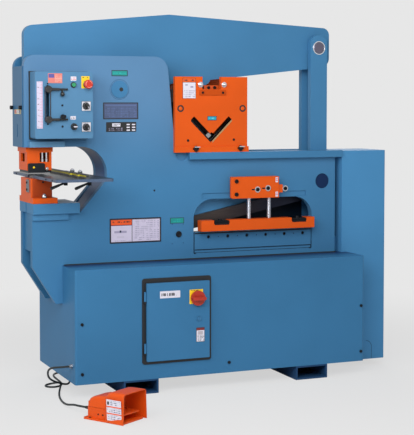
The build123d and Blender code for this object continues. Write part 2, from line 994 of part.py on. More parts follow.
# Guard housing round the punch, bolted under the head
with BuildPart() as punch_housing:
    block(guard_flange_left, guard_flange_right, guard_front, guard_back,
          head_bottom - guard_flange_height, head_bottom)
    block(guard_left, guard_right, guard_front, guard_back, guard_bottom, head_bottom)
    block(guard_left + guard_wall, guard_right - guard_wall, guard_front + guard_wall,
          guard_back - guard_wall, guard_bottom, head_bottom, mode=Mode.SUBTRACT)
    block(guard_window_left, guard_right - guard_wall, guard_front, guard_front + guard_wall,
          guard_window_bottom, guard_window_top, mode=Mode.SUBTRACT)
    block(guard_left, guard_left + guard_wall, side_window_front, side_window_back,
          guard_window_bottom, side_window_top, mode=Mode.SUBTRACT)

punch_housing.part.label = "punch_housing"
export_step(punch_housing.part, "parts/punch_housing.step")

# Stripper under the guard, with its rounded front block
with BuildPart() as stripper:
    block(guard_left + stripper_inset, guard_right - stripper_inset, guard_front, stripper_back,
          guard_bottom - stripper_thickness, guard_bottom)
    block(guard_left + stripper_inset, stripper_block_right, guard_front - stripper_block_depth,
          guard_front, guard_bottom - stripper_thickness, stripper_block_top)
    upright(station_x, 0, stripper_hole_radius, guard_bottom - stripper_thickness, guard_bottom,
            mode=Mode.SUBTRACT)
    fillet(stripper.edges().filter_by(Axis.Y).group_by(Axis.Z)[-1], stripper_block_radius)

stripper.part.label = "stripper"
export_step(stripper.part, "parts/stripper.step")

# Bolster on the jaw, with its front skirt
bolster_left = jaw_left - bolster_lip
bolster_top = jaw_top + bolster_height
with BuildPart() as bolster:
    block(bolster_left, bolster_right, bolster_front, bolster_back, jaw_top, bolster_top)
    block(jaw_left + bolster_lip, bolster_skirt_right, -plate_outer - bolster_skirt_depth, -plate_outer,
          jaw_top - bolster_skirt_height, jaw_top)
    upright(station_x, 0, slug_radius, jaw_top, bolster_top, mode=Mode.SUBTRACT)
    block(bolster_left, bolster_left + bolster_groove_depth, -bolster_groove_width / 2,
          bolster_groove_width / 2, jaw_top, bolster_top, mode=Mode.SUBTRACT)

bolster.part.label = "bolster"
export_step(bolster.part, "parts/bolster.step")

# Die block with its flange and the die seat
with BuildPart() as die_block:
    block(bolster_left, die_flange_right, die_flange_front, die_flange_back,
          bolster_top, bolster_top + die_flange_height)
    block(bolster_left, die_block_right, die_block_front, die_block_back,
          bolster_top + die_flange_height, die_block_top)
    fillet(
        die_block.edges().filter_by(Axis.Z).filter_by_position(
            Axis.Y, die_block_front - 1, die_block_front + 1
        ),
        die_block_radius,
    )
    upright(station_x, 0, slug_radius - die_shoulder, bolster_top, die_block_top, mode=Mode.SUBTRACT)
    upright(station_x, 0, die_radius + shaft_fit, die_block_top - die_seat_depth, die_block_top,
            mode=Mode.SUBTRACT)
    cross_bar(station_x + die_screw_offset, die_block_top - die_screw_drop, die_screw_radius,
              die_block_front, die_block_front + die_screw_depth, mode=Mode.SUBTRACT)

die_block.part.label = "die_block"
export_step(die_block.part, "parts/die_block.step")

die_bottom = die_block_top - die_seat_depth
with BuildPart() as die:
    upright(station_x, 0, die_radius, die_bottom, die_bottom + die_height)
    chamfer(die.edges().filter_by(GeomType.CIRCLE).group_by(Axis.Z)[-1], die_chamfer)
    upright(station_x, 0, die_bore_radius, die_bottom, die_bottom + die_height, mode=Mode.SUBTRACT)

die.part.label = "die"
export_step(die.part, "parts/die.step")

# Gauging table on the die block, open on the left round the die
table_bottom = die_block_top
table_top = table_bottom + table_thickness
with BuildPart() as gauging_table:
    block(table_left, table_right, table_front, table_back, table_bottom, table_top)
    upright(station_x, 0, table_cut_radius, table_bottom, table_top, mode=Mode.SUBTRACT)
    block(table_left, station_x, -table_cut_radius, table_cut_radius, table_bottom, table_top,
          mode=Mode.SUBTRACT)
    fillet(gauging_table.edges().filter_by(Axis.Z).group_by(Axis.X)[-1], table_corner)

gauging_table.part.label = "gauging_table"
export_step(gauging_table.part, "parts/gauging_table.step")

# Fence that slides across the table, with its two clamps
with BuildPart() as table_fence:
    block(fence_x - fence_width / 2, fence_x + fence_width / 2, fence_front, fence_back,
          table_top + running_gap, table_top + fence_height)
    for clamp_index in range(2):
        clamp_y = fence_clamp_y - clamp_index * fence_clamp_pitch
        clamp_top_z = table_top + fence_clamp_height
        block(fence_x - fence_clamp_half, fence_x + fence_clamp_half, clamp_y - fence_clamp_half,
              clamp_y + fence_clamp_half, table_top + running_gap, clamp_top_z)
        upright(fence_x, clamp_y, fence_screw_radius, clamp_top_z, clamp_top_z + fence_screw_height)

table_fence.part.label = "table_fence"
export_step(table_fence.part, "parts/table_fence.step")


# Clamping levers hung under the table
def clamp_lever(x, y, turn):
    """Lever with its hub under the table, its arm turned in plan and drooping a little."""
    hub_top = table_bottom - running_gap
    hub_bottom = hub_top - lever_hub_height
    end_x = x + lever_length * cos(radians(turn))
    end_y = y + lever_length * sin(radians(turn))
    arm_z = hub_top - lever_hub_height / 2
    upright(x, y, lever_hub_radius, hub_bottom, hub_top)
    arm_plane = Plane(origin=(x, y, arm_z), z_dir=(end_x - x, end_y - y, -lever_droop))
    with BuildSketch(arm_plane) as arm_section:
        Circle(lever_radius)
    extrude(arm_section.sketch, amount=lever_length)


with BuildPart() as table_lever_left:
    clamp_lever(lever_left_x, lever_left_y, 180)

table_lever_left.part.label = "table_lever_left"
export_step(table_lever_left.part, "parts/table_lever_left.step")

with BuildPart() as table_lever_right:
    clamp_lever(lever_right_x, lever_right_y, 187)

table_lever_right.part.label = "table_lever_right"
export_step(table_lever_right.part, "parts/table_lever_right.step")

# Control box, a folded sheet cover on the front plate
box_face = box_front + box_sheet
with BuildPart() as control_box:
    block(box_left, box_right, box_front, -plate_outer, box_bottom, box_top)
    fillet(control_box.edges().filter_by(Axis.Y), box_radius)
    block(box_left + box_sheet, box_right - box_sheet, box_face, -plate_outer,
          box_bottom + box_sheet, box_top - box_sheet, mode=Mode.SUBTRACT)
    with BuildSketch(front_plane(box_face)):
        with Locations((slot_x, (slot_bottom + slot_top) / 2)):
            SlotOverall(slot_top - slot_bottom, slot_width, rotation=90)
        with Locations(
            (mode_x, mode_high_z), (mode_x, mode_low_z), (selector_x, selector_z), (start_x, start_z)
        ):
            Circle(knob_shaft_radius + shaft_fit)
        with Locations((stop_x, stop_z)):
            Circle(knob_shaft_radius + shaft_fit)
    extrude(amount=box_sheet, mode=Mode.SUBTRACT)

control_box.part.label = "control_box"
export_step(control_box.part, "parts/control_box.step")

# Stroke gauge arms that slide in the slot
spindle_radius = slot_width / 2 - running_gap
gauge_standoff = 2.0
gauge_front = box_front - gauge_standoff


def gauge_arm(z):
    """Knob, spindle and arm of one stroke gauge."""
    cross_bar(slot_x, z, spindle_radius, gauge_front, box_face + spindle_depth)
    cross_bar(slot_x, z, gauge_knob_radius, gauge_front - gauge_knob_length, gauge_front)
    block(slot_x, slot_x + gauge_arm_reach, gauge_front - gauge_arm_size, gauge_front,
          z - gauge_arm_size / 2, z + gauge_arm_size / 2)


with BuildPart() as upper_stroke_arm:
    gauge_arm(arm_high_z)
    block(gauge_ball_x - gauge_arm_size / 2, gauge_ball_x + gauge_arm_size / 2,
          gauge_front - gauge_arm_size, gauge_front, arm_high_z - gauge_ball_drop, arm_high_z)
    with Locations((gauge_ball_x, gauge_front - gauge_ball_radius, arm_high_z - gauge_ball_drop)):
        Sphere(gauge_ball_radius)

upper_stroke_arm.part.label = "upper_stroke_arm"
export_step(upper_stroke_arm.part, "parts/upper_stroke_arm.step")

with BuildPart() as lower_stroke_arm:
    gauge_arm(arm_low_z)
    with BuildSketch(front_plane(gauge_front - gauge_arm_size + 1)):
        with Locations((gauge_ball_x, arm_low_z + gauge_nut_rise)):
            RegularPolygon(gauge_nut_radius, 4, rotation=45)
    extrude(amount=gauge_nut_length)

lower_stroke_arm.part.label = "lower_stroke_arm"
export_step(lower_stroke_arm.part, "parts/lower_stroke_arm.step")

# Push buttons
with BuildPart() as start_button:
    start_back = box_front - start_travel - button_gap
    cross_bar(start_x, start_z, knob_shaft_radius, start_back, box_face + button_shaft)
    cross_bar(start_x, start_z, start_radius, start_back - start_height, start_back)
    chamfer(start_button.edges().filter_by(GeomType.CIRCLE).group_by(Axis.Y)[0], start_bevel)

start_button.part.label = "start_button"
export_step(start_button.part, "parts/start_button.step")

with BuildPart() as estop_button:
    stop_back = box_front - stop_travel - stop_collar
    cross_bar(stop_x, stop_z, knob_shaft_radius, stop_back, box_face + button_shaft)
    cross_bar(stop_x, stop_z, stop_radius, stop_back - stop_height, stop_back)
    fillet(estop_button.edges().filter_by(GeomType.CIRCLE).group_by(Axis.Y)[0], stop_round)

estop_button.part.label = "estop_button"
export_step(estop_button.part, "parts/estop_button.step")


# Rotary switches
def rotary_knob(x, z, radius, tilt):
    """Round knob with a raised grip, on a shaft through the box face."""
    knob_back = box_front - knob_standoff
    cross_bar(x, z, knob_shaft_radius, knob_back, box_face + knob_shaft)
    cross_bar(x, z, radius, knob_back - knob_height, knob_back)
    with BuildSketch(front_plane(knob_back - knob_height)) as grip:
        with Locations((x, z)):
            SlotOverall(2 * (radius + knob_grip_reach), knob_grip_width, rotation=tilt)
    extrude(grip.sketch, amount=knob_grip_height)


with BuildPart() as upper_mode_knob:
    rotary_knob(mode_x, mode_high_z, mode_radius, -60)

upper_mode_knob.part.label = "upper_mode_knob"
export_step(upper_mode_knob.part, "parts/upper_mode_knob.step")

with BuildPart() as lower_mode_knob:
    rotary_knob(mode_x, mode_low_z, mode_radius, -60)

lower_mode_knob.part.label = "lower_mode_knob"
export_step(lower_mode_knob.part, "parts/lower_mode_knob.step")

with BuildPart() as selector_knob:
    rotary_knob(selector_x, selector_z, selector_radius, 90)

selector_knob.part.label = "selector_knob"
export_step(selector_knob.part, "parts/selector_knob.step")

# Hold-down bar and its two threaded studs, which rise together
clamp_back = -plate_outer - clamp_gap
clamp_front = clamp_back - clamp_thickness
clamp_top = clamp_bottom + clamp_height
stud_y = (clamp_front + clamp_back) / 2
with BuildPart() as hold_down_bar:
    block(clamp_left, clamp_right, clamp_front, clamp_back, clamp_bottom, clamp_top)
    for notch_x in (clamp_notch_left, clamp_notch_right):
        block(notch_x - clamp_notch_width / 2, notch_x + clamp_notch_width / 2,
              clamp_front, clamp_back, clamp_top - clamp_notch_depth, clamp_top,
              mode=Mode.SUBTRACT)

hold_down_bar.part.label = "hold_down_bar"
export_step(hold_down_bar.part, "parts/hold_down_bar.step")

stud_top = bracket_bottom + stud_engagement
with BuildPart() as hold_down_studs:
    for stud_x in (stud_left_x, stud_right_x):
        upright(stud_x, stud_y, stud_radius, clamp_top, stud_top)

hold_down_studs.part.label = "hold_down_studs"
export_step(hold_down_studs.part, "parts/hold_down_studs.step")

# Bracket above the window that guides the studs
bracket_front = -plate_outer - bracket_thickness
bracket_middle = (bracket_bottom + bracket_top) / 2 - bracket_tab_drop
stud_bore_top = stud_top + stud_clearance_depth
with BuildPart() as hold_down_bracket:
    block(bracket_left, bracket_right, bracket_front, bracket_front + bracket_plate,
          bracket_bottom, bracket_top)
    fillet(hold_down_bracket.edges().filter_by(Axis.Y).group_by(Axis.X)[0], bracket_radius)
    block(bracket_block_left, bracket_right, bracket_front + bracket_plate, -plate_outer,
          bracket_bottom, bracket_top)
    block(bracket_right, bracket_tab_right, bracket_front + bracket_tab_recess, -plate_outer,
          bracket_middle - bracket_tab_height / 2, bracket_middle + bracket_tab_height / 2)
    for stud_x in (stud_left_x, stud_right_x):
        upright(stud_x, stud_y, stud_radius + running_gap, bracket_bottom, stud_bore_top,
                mode=Mode.SUBTRACT)

hold_down_bracket.part.label = "hold_down_bracket"
export_step(hold_down_bracket.part, "parts/hold_down_bracket.step")

# Angle shear housing: front and rear plates joined by two guide walls
housing_front_back = housing_front + housing_plate
housing_rear_front = housing_back - housing_plate
housing_bottom = bed_plate_top
vee_rise = vee_width * 2**0.5


def vee_band(inset):
    """Closed V band: its outer point, both arm tops, and the inner point."""
    reach = vee_reach
    return [
        (vee_x, vee_z - inset),
        (vee_x + reach, vee_z + reach - inset),
        (vee_x + reach - vee_rise / 2, vee_z + reach + vee_rise / 2),
        (vee_x, vee_z + vee_rise),
        (vee_x - reach + vee_rise / 2, vee_z + reach + vee_rise / 2),
        (vee_x - reach, vee_z + reach - inset),
    ]


with BuildPart() as angle_shear_housing:
    block(housing_left, housing_right, housing_front, housing_front_back, housing_bottom, housing_top)
    block(housing_left, housing_right, housing_rear_front, housing_back, housing_bottom, housing_top)
    block(housing_left + side_wall_inset, slide_left - running_gap, housing_front_back, housing_rear_front,
          housing_bottom, side_wall_top)
    block(slide_right + running_gap, housing_right - side_wall_inset, housing_front_back, housing_rear_front,
          housing_bottom, side_wall_top)
    block(housing_left - flange_side, housing_right + flange_side, housing_front - flange_proud,
          housing_front, housing_bottom, housing_bottom + flange_height)
    block(notch_left, notch_right, housing_front, housing_front_back, notch_bottom, housing_top,
          mode=Mode.SUBTRACT)
    with BuildSketch(front_plane(housing_back)):
        with BuildLine():
            Polyline(*vee_band(0), close=True)
        make_face()
        with Locations((vee_x, vee_z + vee_rise + vee_relief_radius / 2)):
            Circle(vee_relief_radius)
    extrude(amount=housing_back - housing_front, mode=Mode.SUBTRACT)

angle_shear_housing.part.label = "angle_shear_housing"
export_step(angle_shear_housing.part, "parts/angle_shear_housing.step")

# Fixed angle blades behind the front plate, along the lower edges of the V
blade_drop = angle_blade_width * 2**0.5
mitre_gap = 0.5
with BuildPart() as fixed_angle_blades:
    with BuildSketch(front_plane(housing_front_back + angle_blade_thickness)):
        for side in (-1, 1):
            with BuildLine():
                Polyline(
                    (vee_x + side * mitre_gap, vee_z),
                    (vee_x + side * vee_reach, vee_z + vee_reach),
                    (vee_x + side * vee_reach, vee_z + vee_reach - blade_drop),
                    (vee_x + side * mitre_gap, vee_z - blade_drop),
                    close=True,
                )
            make_face()
    extrude(amount=angle_blade_thickness)

fixed_angle_blades.part.label = "fixed_angle_blades"
export_step(fixed_angle_blades.part, "parts/fixed_angle_blades.step")

# Slide with a pointed lower end, pressed down by the beam's nose
slide_front = housing_front_back + angle_blade_thickness + running_gap
slide_point = vee_z + vee_rise
with BuildPart() as angle_shear_slide:
    with BuildSketch(front_plane(slide_back)):
        with BuildLine():
            Polyline(
                (vee_x, slide_point),
                (slide_right, slide_point + slide_right - vee_x),
                (slide_right, slide_top),
                (slide_left, slide_top),
                (slide_left, slide_point + vee_x - slide_left),
                close=True,
            )
        make_face()
    extrude(amount=slide_back - slide_front)

angle_shear_slide.part.label = "angle_shear_slide"
export_step(angle_shear_slide.part, "parts/angle_shear_slide.step")

# Fork tubes under the base, open at both ends, drilled for floor anchors
with BuildPart() as fork_tubes:
    for tube_x in (-tube_spacing / 2, tube_spacing / 2):
        block(tube_x - tube_width / 2, tube_x + tube_width / 2, base_front, base_back, 0, tube_height)
        block(tube_x - tube_width / 2 + tube_wall, tube_x + tube_width / 2 - tube_wall,
              base_front, base_back, tube_wall, tube_height - tube_wall, mode=Mode.SUBTRACT)
    with BuildSketch(Plane.XY):
        with GridLocations(tube_spacing, anchor_spacing, 2, 2):
            Circle(anchor_hole / 2)
    extrude(amount=tube_wall, mode=Mode.SUBTRACT)

fork_tubes.part.label = "fork_tubes"
export_step(fork_tubes.part, "parts/fork_tubes.step")

# Base shell, open at the front, slotted for the frame plates
plate_slot = plate_outer + sheet_gap
with BuildPart() as base_shell:
    block(base_left, base_right, shell_front, base_back, base_bottom, base_top)
    block(base_left + base_wall, base_right - base_wall, shell_front, base_back - base_wall,
          base_floor, base_top - base_wall, mode=Mode.SUBTRACT)
    block(base_left + base_wall, bed_plate_right + sheet_gap, -plate_slot, plate_slot,
          base_top - base_wall, base_top, mode=Mode.SUBTRACT)
    block(base_left, base_left + base_wall, -plate_slot, plate_slot, jaw_heel_z - sheet_gap,
          base_top, mode=Mode.SUBTRACT)
    long_bar(gland_y, gland_z, cord_diameter / 2 + sheet_gap, base_left, base_left + base_wall,
             mode=Mode.SUBTRACT)

base_shell.part.label = "base_shell"
export_step(base_shell.part, "parts/base_shell.step")

# Front cover, a shallow tray with an opening for the enclosure
with BuildPart() as front_cover:
    block(base_left, base_right, base_front, shell_front, base_bottom, base_top)
    fillet(
        front_cover.edges().filter_by(Axis.Z).filter_by_position(Axis.Y, base_front - 1, base_front + 1),
        cover_edge_radius,
    )
    block(base_left + cover_sheet, base_right - cover_sheet, base_front + cover_sheet, shell_front,
          base_bottom + cover_sheet, base_top - cover_sheet, mode=Mode.SUBTRACT)
    block(rim_left + rim_lap - sheet_gap, rim_right - rim_lap + sheet_gap, base_front,
          base_front + cover_sheet, rim_bottom + rim_lap - sheet_gap, rim_top - rim_lap + sheet_gap,
          mode=Mode.SUBTRACT)
    with BuildSketch(front_plane(base_front + cover_sheet)):
        with Locations(
            (screw_left, screw_high_z), (screw_right, screw_high_z),
            (screw_left, screw_low_z), (screw_right, screw_low_z), (0, screw_low_z),
        ):
            Circle(screw_radius + shaft_fit)
    extrude(amount=cover_sheet, mode=Mode.SUBTRACT)

front_cover.part.label = "front_cover"
export_step(front_cover.part, "parts/front_cover.step")

# Five cover screws
with BuildPart() as cap_screws:
    for one_x, one_z in (
        (screw_left, screw_high_z), (screw_right, screw_high_z),
        (screw_left, screw_low_z), (screw_right, screw_low_z), (0, screw_low_z),
    ):
        cross_bar(one_x, one_z, screw_head_radius, base_front - screw_head_height, base_front)
        cross_bar(one_x, one_z, screw_radius, base_front, base_front + screw_length)

cap_screws.part.label = "cap_screws"
export_step(cap_screws.part, "parts/cap_screws.step")

# Electrical enclosure through the front cover, with its rim and hinge pins
rim_front = base_front - rim_thickness
enclosure_back = base_front + enclosure_depth
hinge_x = door_left - hinge_radius - hinge_offset
hinge_y = rim_front - hinge_standoff - hinge_radius
with BuildPart() as enclosure_box:
    block(rim_left, rim_right, rim_front, base_front, rim_bottom, rim_top)
    fillet(enclosure_box.edges().filter_by(Axis.Y), rim_radius)
    block(rim_left + rim_lap, rim_right - rim_lap, base_front, enclosure_back,
          rim_bottom + rim_lap, rim_top - rim_lap)
    block(rim_left + rim_lap + enclosure_wall, rim_right - rim_lap - enclosure_wall, base_front,
          enclosure_back - enclosure_wall, rim_bottom + rim_lap + enclosure_wall,
          rim_top - rim_lap - enclosure_wall, mode=Mode.SUBTRACT)
    block(door_left + door_lap, door_right - door_lap, rim_front, base_front,
          door_bottom + door_lap, door_top - door_lap, mode=Mode.SUBTRACT)
    for hinge_z in (door_bottom + hinge_inset, door_top - hinge_inset):
        lug_top = hinge_z - hinge_length / 2 - sheet_gap
        block(hinge_x - lug_half, hinge_x + lug_half, hinge_y - lug_half, rim_front,
              lug_top - lug_height, lug_top)
        upright(hinge_x, hinge_y, hinge_pin_radius, lug_top, lug_top + hinge_length)

enclosure_box.part.label = "enclosure_box"
export_step(enclosure_box.part, "parts/enclosure_box.step")

# Enclosure door, a shallow tray with two hinge barrels
door_back = rim_front - sheet_gap
door_front = door_back - door_thickness
with BuildPart() as enclosure_door:
    block(door_left, door_right, door_front, door_back, door_bottom, door_top)
    fillet(enclosure_door.edges().filter_by(Axis.Y), door_radius)
    block(door_left + door_sheet, door_right - door_sheet, door_front + door_sheet, door_back,
          door_bottom + door_sheet, door_top - door_sheet, mode=Mode.SUBTRACT)
    for hinge_z in (door_bottom + hinge_inset, door_top - hinge_inset):
        upright(hinge_x, hinge_y, hinge_radius, hinge_z - hinge_length / 2, hinge_z + hinge_length / 2)
        block(hinge_x, door_left + door_sheet, hinge_y - hinge_leaf / 2, hinge_y + hinge_leaf / 2,
              hinge_z - hinge_length / 2, hinge_z + hinge_length / 2)
        upright(hinge_x, hinge_y, hinge_pin_radius + pin_fit, hinge_z - hinge_length / 2,
                hinge_z + hinge_length / 2, mode=Mode.SUBTRACT)
    cross_bar(isolator_x, isolator_z, knob_shaft_radius + shaft_fit, door_front,
              door_front + door_sheet, mode=Mode.SUBTRACT)
    cross_bar(latch_x, latch_z, knob_shaft_radius + shaft_fit, door_front,
              door_front + door_sheet, mode=Mode.SUBTRACT)

enclosure_door.part.label = "enclosure_door"
export_step(enclosure_door.part, "parts/enclosure_door.step")

# Isolator handle on the door
isolator_back = door_front - knob_standoff
with BuildPart() as isolator_handle:
    cross_bar(isolator_x, isolator_z, knob_shaft_radius, isolator_back,
              door_front + door_sheet + isolator_shaft)
    cross_bar(isolator_x, isolator_z, isolator_radius, isolator_back - isolator_hub_height,
              isolator_back)
    with BuildSketch(front_plane(isolator_back - isolator_hub_height)):
        with Locations((isolator_x, isolator_z)):
            SlotOverall(2 * (isolator_radius - isolator_grip_inset), isolator_grip_width)
    extrude(amount=isolator_grip_height)

isolator_handle.part.label = "isolator_handle"
export_step(isolator_handle.part, "parts/isolator_handle.step")

# Quarter-turn door latch
with BuildPart() as door_latch:
    latch_back = door_front - latch_gap
    latch_front = latch_back - latch_height
    cam_front = door_front + door_sheet + latch_shaft
    cross_bar(latch_x, latch_z, knob_shaft_radius, latch_back, cam_front)
    cross_bar(latch_x, latch_z, latch_radius, latch_front, latch_back)
    block(latch_x - latch_groove / 2, latch_x + latch_groove / 2, latch_front,
          latch_front + latch_groove_depth, latch_z - latch_cam_half, latch_z + latch_cam_half,
          mode=Mode.SUBTRACT)
    block(latch_x - latch_cam_half, latch_x + latch_cam_reach, cam_front, cam_front + latch_cam,
          latch_z - latch_cam_half, latch_z + latch_cam_half)

door_latch.part.label = "door_latch"
export_step(door_latch.part, "parts/door_latch.step")

# Column cover at the right end, hollow and open underneath
with BuildPart() as column_cover:
    with BuildSketch(front_plane(column_back)) as column_face:
        with BuildLine():
            Polyline(
                (column_left, base_top),
                (column_left, column_top),
                (column_right, column_top),
                (column_right, column_bottom),
                (base_right, column_bottom),
                (base_right, base_top),
                close=True,
            )
        make_face()
    extrude(amount=column_back - column_front)
    fillet(column_cover.edges().filter_by(Axis.Z).group_by(Axis.X)[-1], column_radius)
    with BuildSketch(front_plane(column_back - column_wall)):
        with BuildLine():
            Polyline(
                (column_left + column_wall, base_top + column_wall),
                (column_left + column_wall, column_top - column_wall),
                (column_right - column_wall, column_top - column_wall),
                (column_right - column_wall, column_bottom),
                (base_right + column_wall, column_bottom),
                (base_right + column_wall, base_top + column_wall),
                close=True,
            )
        make_face()
    extrude(amount=column_back - column_front - 2 * column_wall, mode=Mode.SUBTRACT)

column_cover.part.label = "column_cover"
export_step(column_cover.part, "parts/column_cover.step")

# Oil tank in the rear of the base, hollow, with a filler neck
with BuildPart() as oil_tank:
    block(tank_left, tank_right, tank_front, tank_back, base_floor, base_floor + tank_height)
    upright(tank_left + filler_inset, (tank_front + tank_back) / 2, filler_radius,
            base_floor + tank_height, base_floor + tank_height + filler_height)
    block(tank_left + tank_wall, tank_right - tank_wall, tank_front + tank_wall,
          tank_back - tank_wall, base_floor + tank_wall, base_floor + tank_height - tank_wall,
          mode=Mode.SUBTRACT)
    upright(tank_left + filler_inset, (tank_front + tank_back) / 2, filler_radius - tank_wall,
            base_floor + tank_height - tank_wall, base_floor + tank_height + filler_height,
            mode=Mode.SUBTRACT)

oil_tank.part.label = "oil_tank"
export_step(oil_tank.part, "parts/oil_tank.step")

# Motor and pump on their foot, in the front of the base
motor_z = base_floor + motor_axis_height
with BuildPart() as pump_motor:
    long_bar(motor_y, motor_z, motor_radius, motor_left, motor_left + motor_length)
    long_bar(motor_y, motor_z, pump_radius, motor_left + motor_length,
             motor_left + motor_length + pump_length)
    block(motor_left + motor_foot_inset, motor_left + motor_length - motor_foot_inset,
          motor_y - motor_foot_half, motor_y + motor_foot_half, base_floor,
          base_floor + motor_foot_height)

pump_motor.part.label = "pump_motor"
export_step(pump_motor.part, "parts/pump_motor.step")

# Cord gland on the base's left wall
cord_radius = cord_diameter / 2
gland_end = base_left - gland_length
with BuildPart() as cord_gland:
    with BuildSketch(side_plane(base_left)):
        with Locations((gland_y, gland_z)):
            RegularPolygon(gland_radius, 6)
    extrude(amount=-gland_length / 2)
    long_bar(gland_y, gland_z, gland_neck, gland_end, base_left)
    long_bar(gland_y, gland_z, gland_bore, gland_end, base_left, mode=Mode.SUBTRACT)

cord_gland.part.label = "cord_gland"
export_step(cord_gland.part, "parts/cord_gland.step")

# Foot switch, in its own turned frame: x towards the hood's mouth, y across, z up
pedal_forward = Vector(cos(radians(pedal_turn)), sin(radians(pedal_turn)), 0)
pedal_across = Vector(-sin(radians(pedal_turn)), cos(radians(pedal_turn)), 0)
pedal_ground = Plane(origin=(pedal_x, pedal_y, 0), x_dir=pedal_forward, z_dir=(0, 0, 1))
pedal_side = Plane(origin=(pedal_x, pedal_y, 0), x_dir=pedal_forward, z_dir=-pedal_across)


def pedal_block(start, end, left, right, bottom, top, mode=Mode.ADD):
    """Block in the foot switch's own frame."""
    with BuildSketch(pedal_ground.offset(bottom)) as outline:
        with Locations(((start + end) / 2, (left + right) / 2)):
            Rectangle(end - start, right - left)
    extrude(outline.sketch, amount=top - bottom, mode=mode)


def pedal_bar(x, z, radius, left, right, mode=Mode.ADD):
    """Round bar or bore across the foot switch."""
    with BuildSketch(pedal_side.offset(-right)) as section:
        with Locations((x, z)):
            Circle(radius)
    extrude(section.sketch, amount=right - left, mode=mode)


body_half = pedal_body_width / 2
pedal_half = pedal_width / 2
floor_half = pedal_half - pedal_wall - 3
body_end = hood_start - sheet_gap
treadle_half = treadle_width / 2
ear_inner = treadle_half + running_gap
ear_outer = ear_inner + 8
ear_top = treadle_height + 8

# Base of the foot switch: floor plate, lower body and the ears for the treadle
with BuildPart() as pedal_base:
    with BuildSketch(pedal_ground):
        with Locations(((pedal_floor_start + pedal_length - 12) / 2, 0)):
            RectangleRounded(pedal_length - 12 - pedal_floor_start, 2 * floor_half, 8)
    extrude(amount=pedal_floor)
    with BuildSketch(pedal_ground.offset(pedal_floor)):
        with Locations(((pedal_body_start + body_end) / 2, 0)):
            RectangleRounded(body_end - pedal_body_start, pedal_body_width, 8)
            RectangleRounded(body_end - pedal_body_start - 2 * pedal_wall,
                             pedal_body_width - 2 * pedal_wall, 5, mode=Mode.SUBTRACT)
    extrude(amount=pedal_seam - pedal_floor)
    for ear_left, ear_right in ((-ear_outer, -ear_inner), (ear_inner, ear_outer)):
        pedal_block(treadle_start - 8, treadle_start + 8, ear_left, ear_right, pedal_floor, ear_top)
        pedal_bar(treadle_start, treadle_height, treadle_pin_radius + shaft_fit, ear_left, ear_right,
                  mode=Mode.SUBTRACT)

pedal_base.part.label = "pedal_base"
export_step(pedal_base.part, "parts/pedal_base.step")

# Guard: a domed rear cover above the seam, running into the hood over the treadle
with BuildPart() as pedal_guard:
    with BuildSketch(pedal_side.offset(-pedal_half)):
        with BuildLine():
            Polyline(
                (hood_start, hood_foot_gap),
                (hood_start, hood_back_height),
                (hood_brow, hood_brow_height),
                (hood_crown, hood_crown_height),
                (pedal_length, hood_crown_height),
                (pedal_length, hood_foot_gap),
                close=True,
            )
        make_face()
    extrude(amount=pedal_width)
    hood_rims = [
        edge for edge in pedal_guard.edges()
        if edge.center().Z > hood_back_height and abs((edge % 0.5).dot(pedal_across)) < 0.1
    ]
    fillet(hood_rims, hood_edge_radius)
    with BuildSketch(pedal_side.offset(-pedal_half + pedal_wall)):
        with BuildLine():
            Polyline(
                (hood_start + pedal_wall, 0),
                (hood_start + pedal_wall, hood_back_height - pedal_wall),
                (hood_brow + pedal_wall, hood_brow_height - pedal_wall),
                (hood_crown + pedal_wall, hood_crown_height - pedal_wall),
                (pedal_length + 1, hood_crown_height - pedal_wall),
                (pedal_length + 1, 0),
                close=True,
            )
        make_face()
    extrude(amount=pedal_width - 2 * pedal_wall, mode=Mode.SUBTRACT)
    pedal_block(hood_start, hood_start + pedal_wall, -floor_half - 1, floor_half + 1, 0,
                pedal_floor + sheet_gap, mode=Mode.SUBTRACT)
    with BuildSketch(pedal_side.offset(-body_half)):
        with BuildLine():
            Polyline(
                (pedal_body_start, pedal_seam),
                (pedal_body_start, pedal_body_top - 22),
                (pedal_body_start + 24, pedal_body_top),
                (hood_start + pedal_wall, pedal_body_top + 8),
                (hood_start + pedal_wall, pedal_seam),
                close=True,
            )
        make_face()
    extrude(amount=pedal_body_width)
    with BuildSketch(pedal_side.offset(-body_half + pedal_wall)):
        with BuildLine():
            Polyline(
                (pedal_body_start + pedal_wall, pedal_seam),
                (pedal_body_start + pedal_wall, pedal_body_top - 26),
                (pedal_body_start + 26, pedal_body_top - pedal_wall),
                (hood_start, pedal_body_top + 4),
                (hood_start, pedal_seam),
                close=True,
            )
        make_face()
    extrude(amount=pedal_body_width - 2 * pedal_wall, mode=Mode.SUBTRACT)

pedal_guard.part.label = "pedal_guard"
export_step(pedal_guard.part, "parts/pedal_guard.step")

# Treadle on its own pin between the ears
with BuildPart() as pedal_treadle:
    pedal_block(treadle_start, treadle_start + treadle_length, -treadle_half, treadle_half,
                treadle_height, treadle_height + treadle_thickness)
    pedal_bar(treadle_start, treadle_height, 6, -treadle_half, treadle_half)
    pedal_bar(treadle_start, treadle_height, treadle_pin_radius, -ear_outer, ear_outer)

pedal_treadle.part.label = "pedal_treadle"
export_step(pedal_treadle.part, "parts/pedal_treadle.step")

# Tapered strain relief behind the foot switch
relief_start = Vector(pedal_x, pedal_y, relief_height) + pedal_forward * (pedal_body_start - relief_length)
with BuildPart() as cord_strain_relief:
    with BuildSketch(Plane(origin=relief_start, z_dir=pedal_forward)):
        Circle(relief_start_radius)
    with BuildSketch(Plane(origin=relief_start + pedal_forward * relief_length,
                           z_dir=pedal_forward)):
        Circle(relief_end_radius)
    loft()

cord_strain_relief.part.label = "cord_strain_relief"
export_step(cord_strain_relief.part, "parts/cord_strain_relief.step")

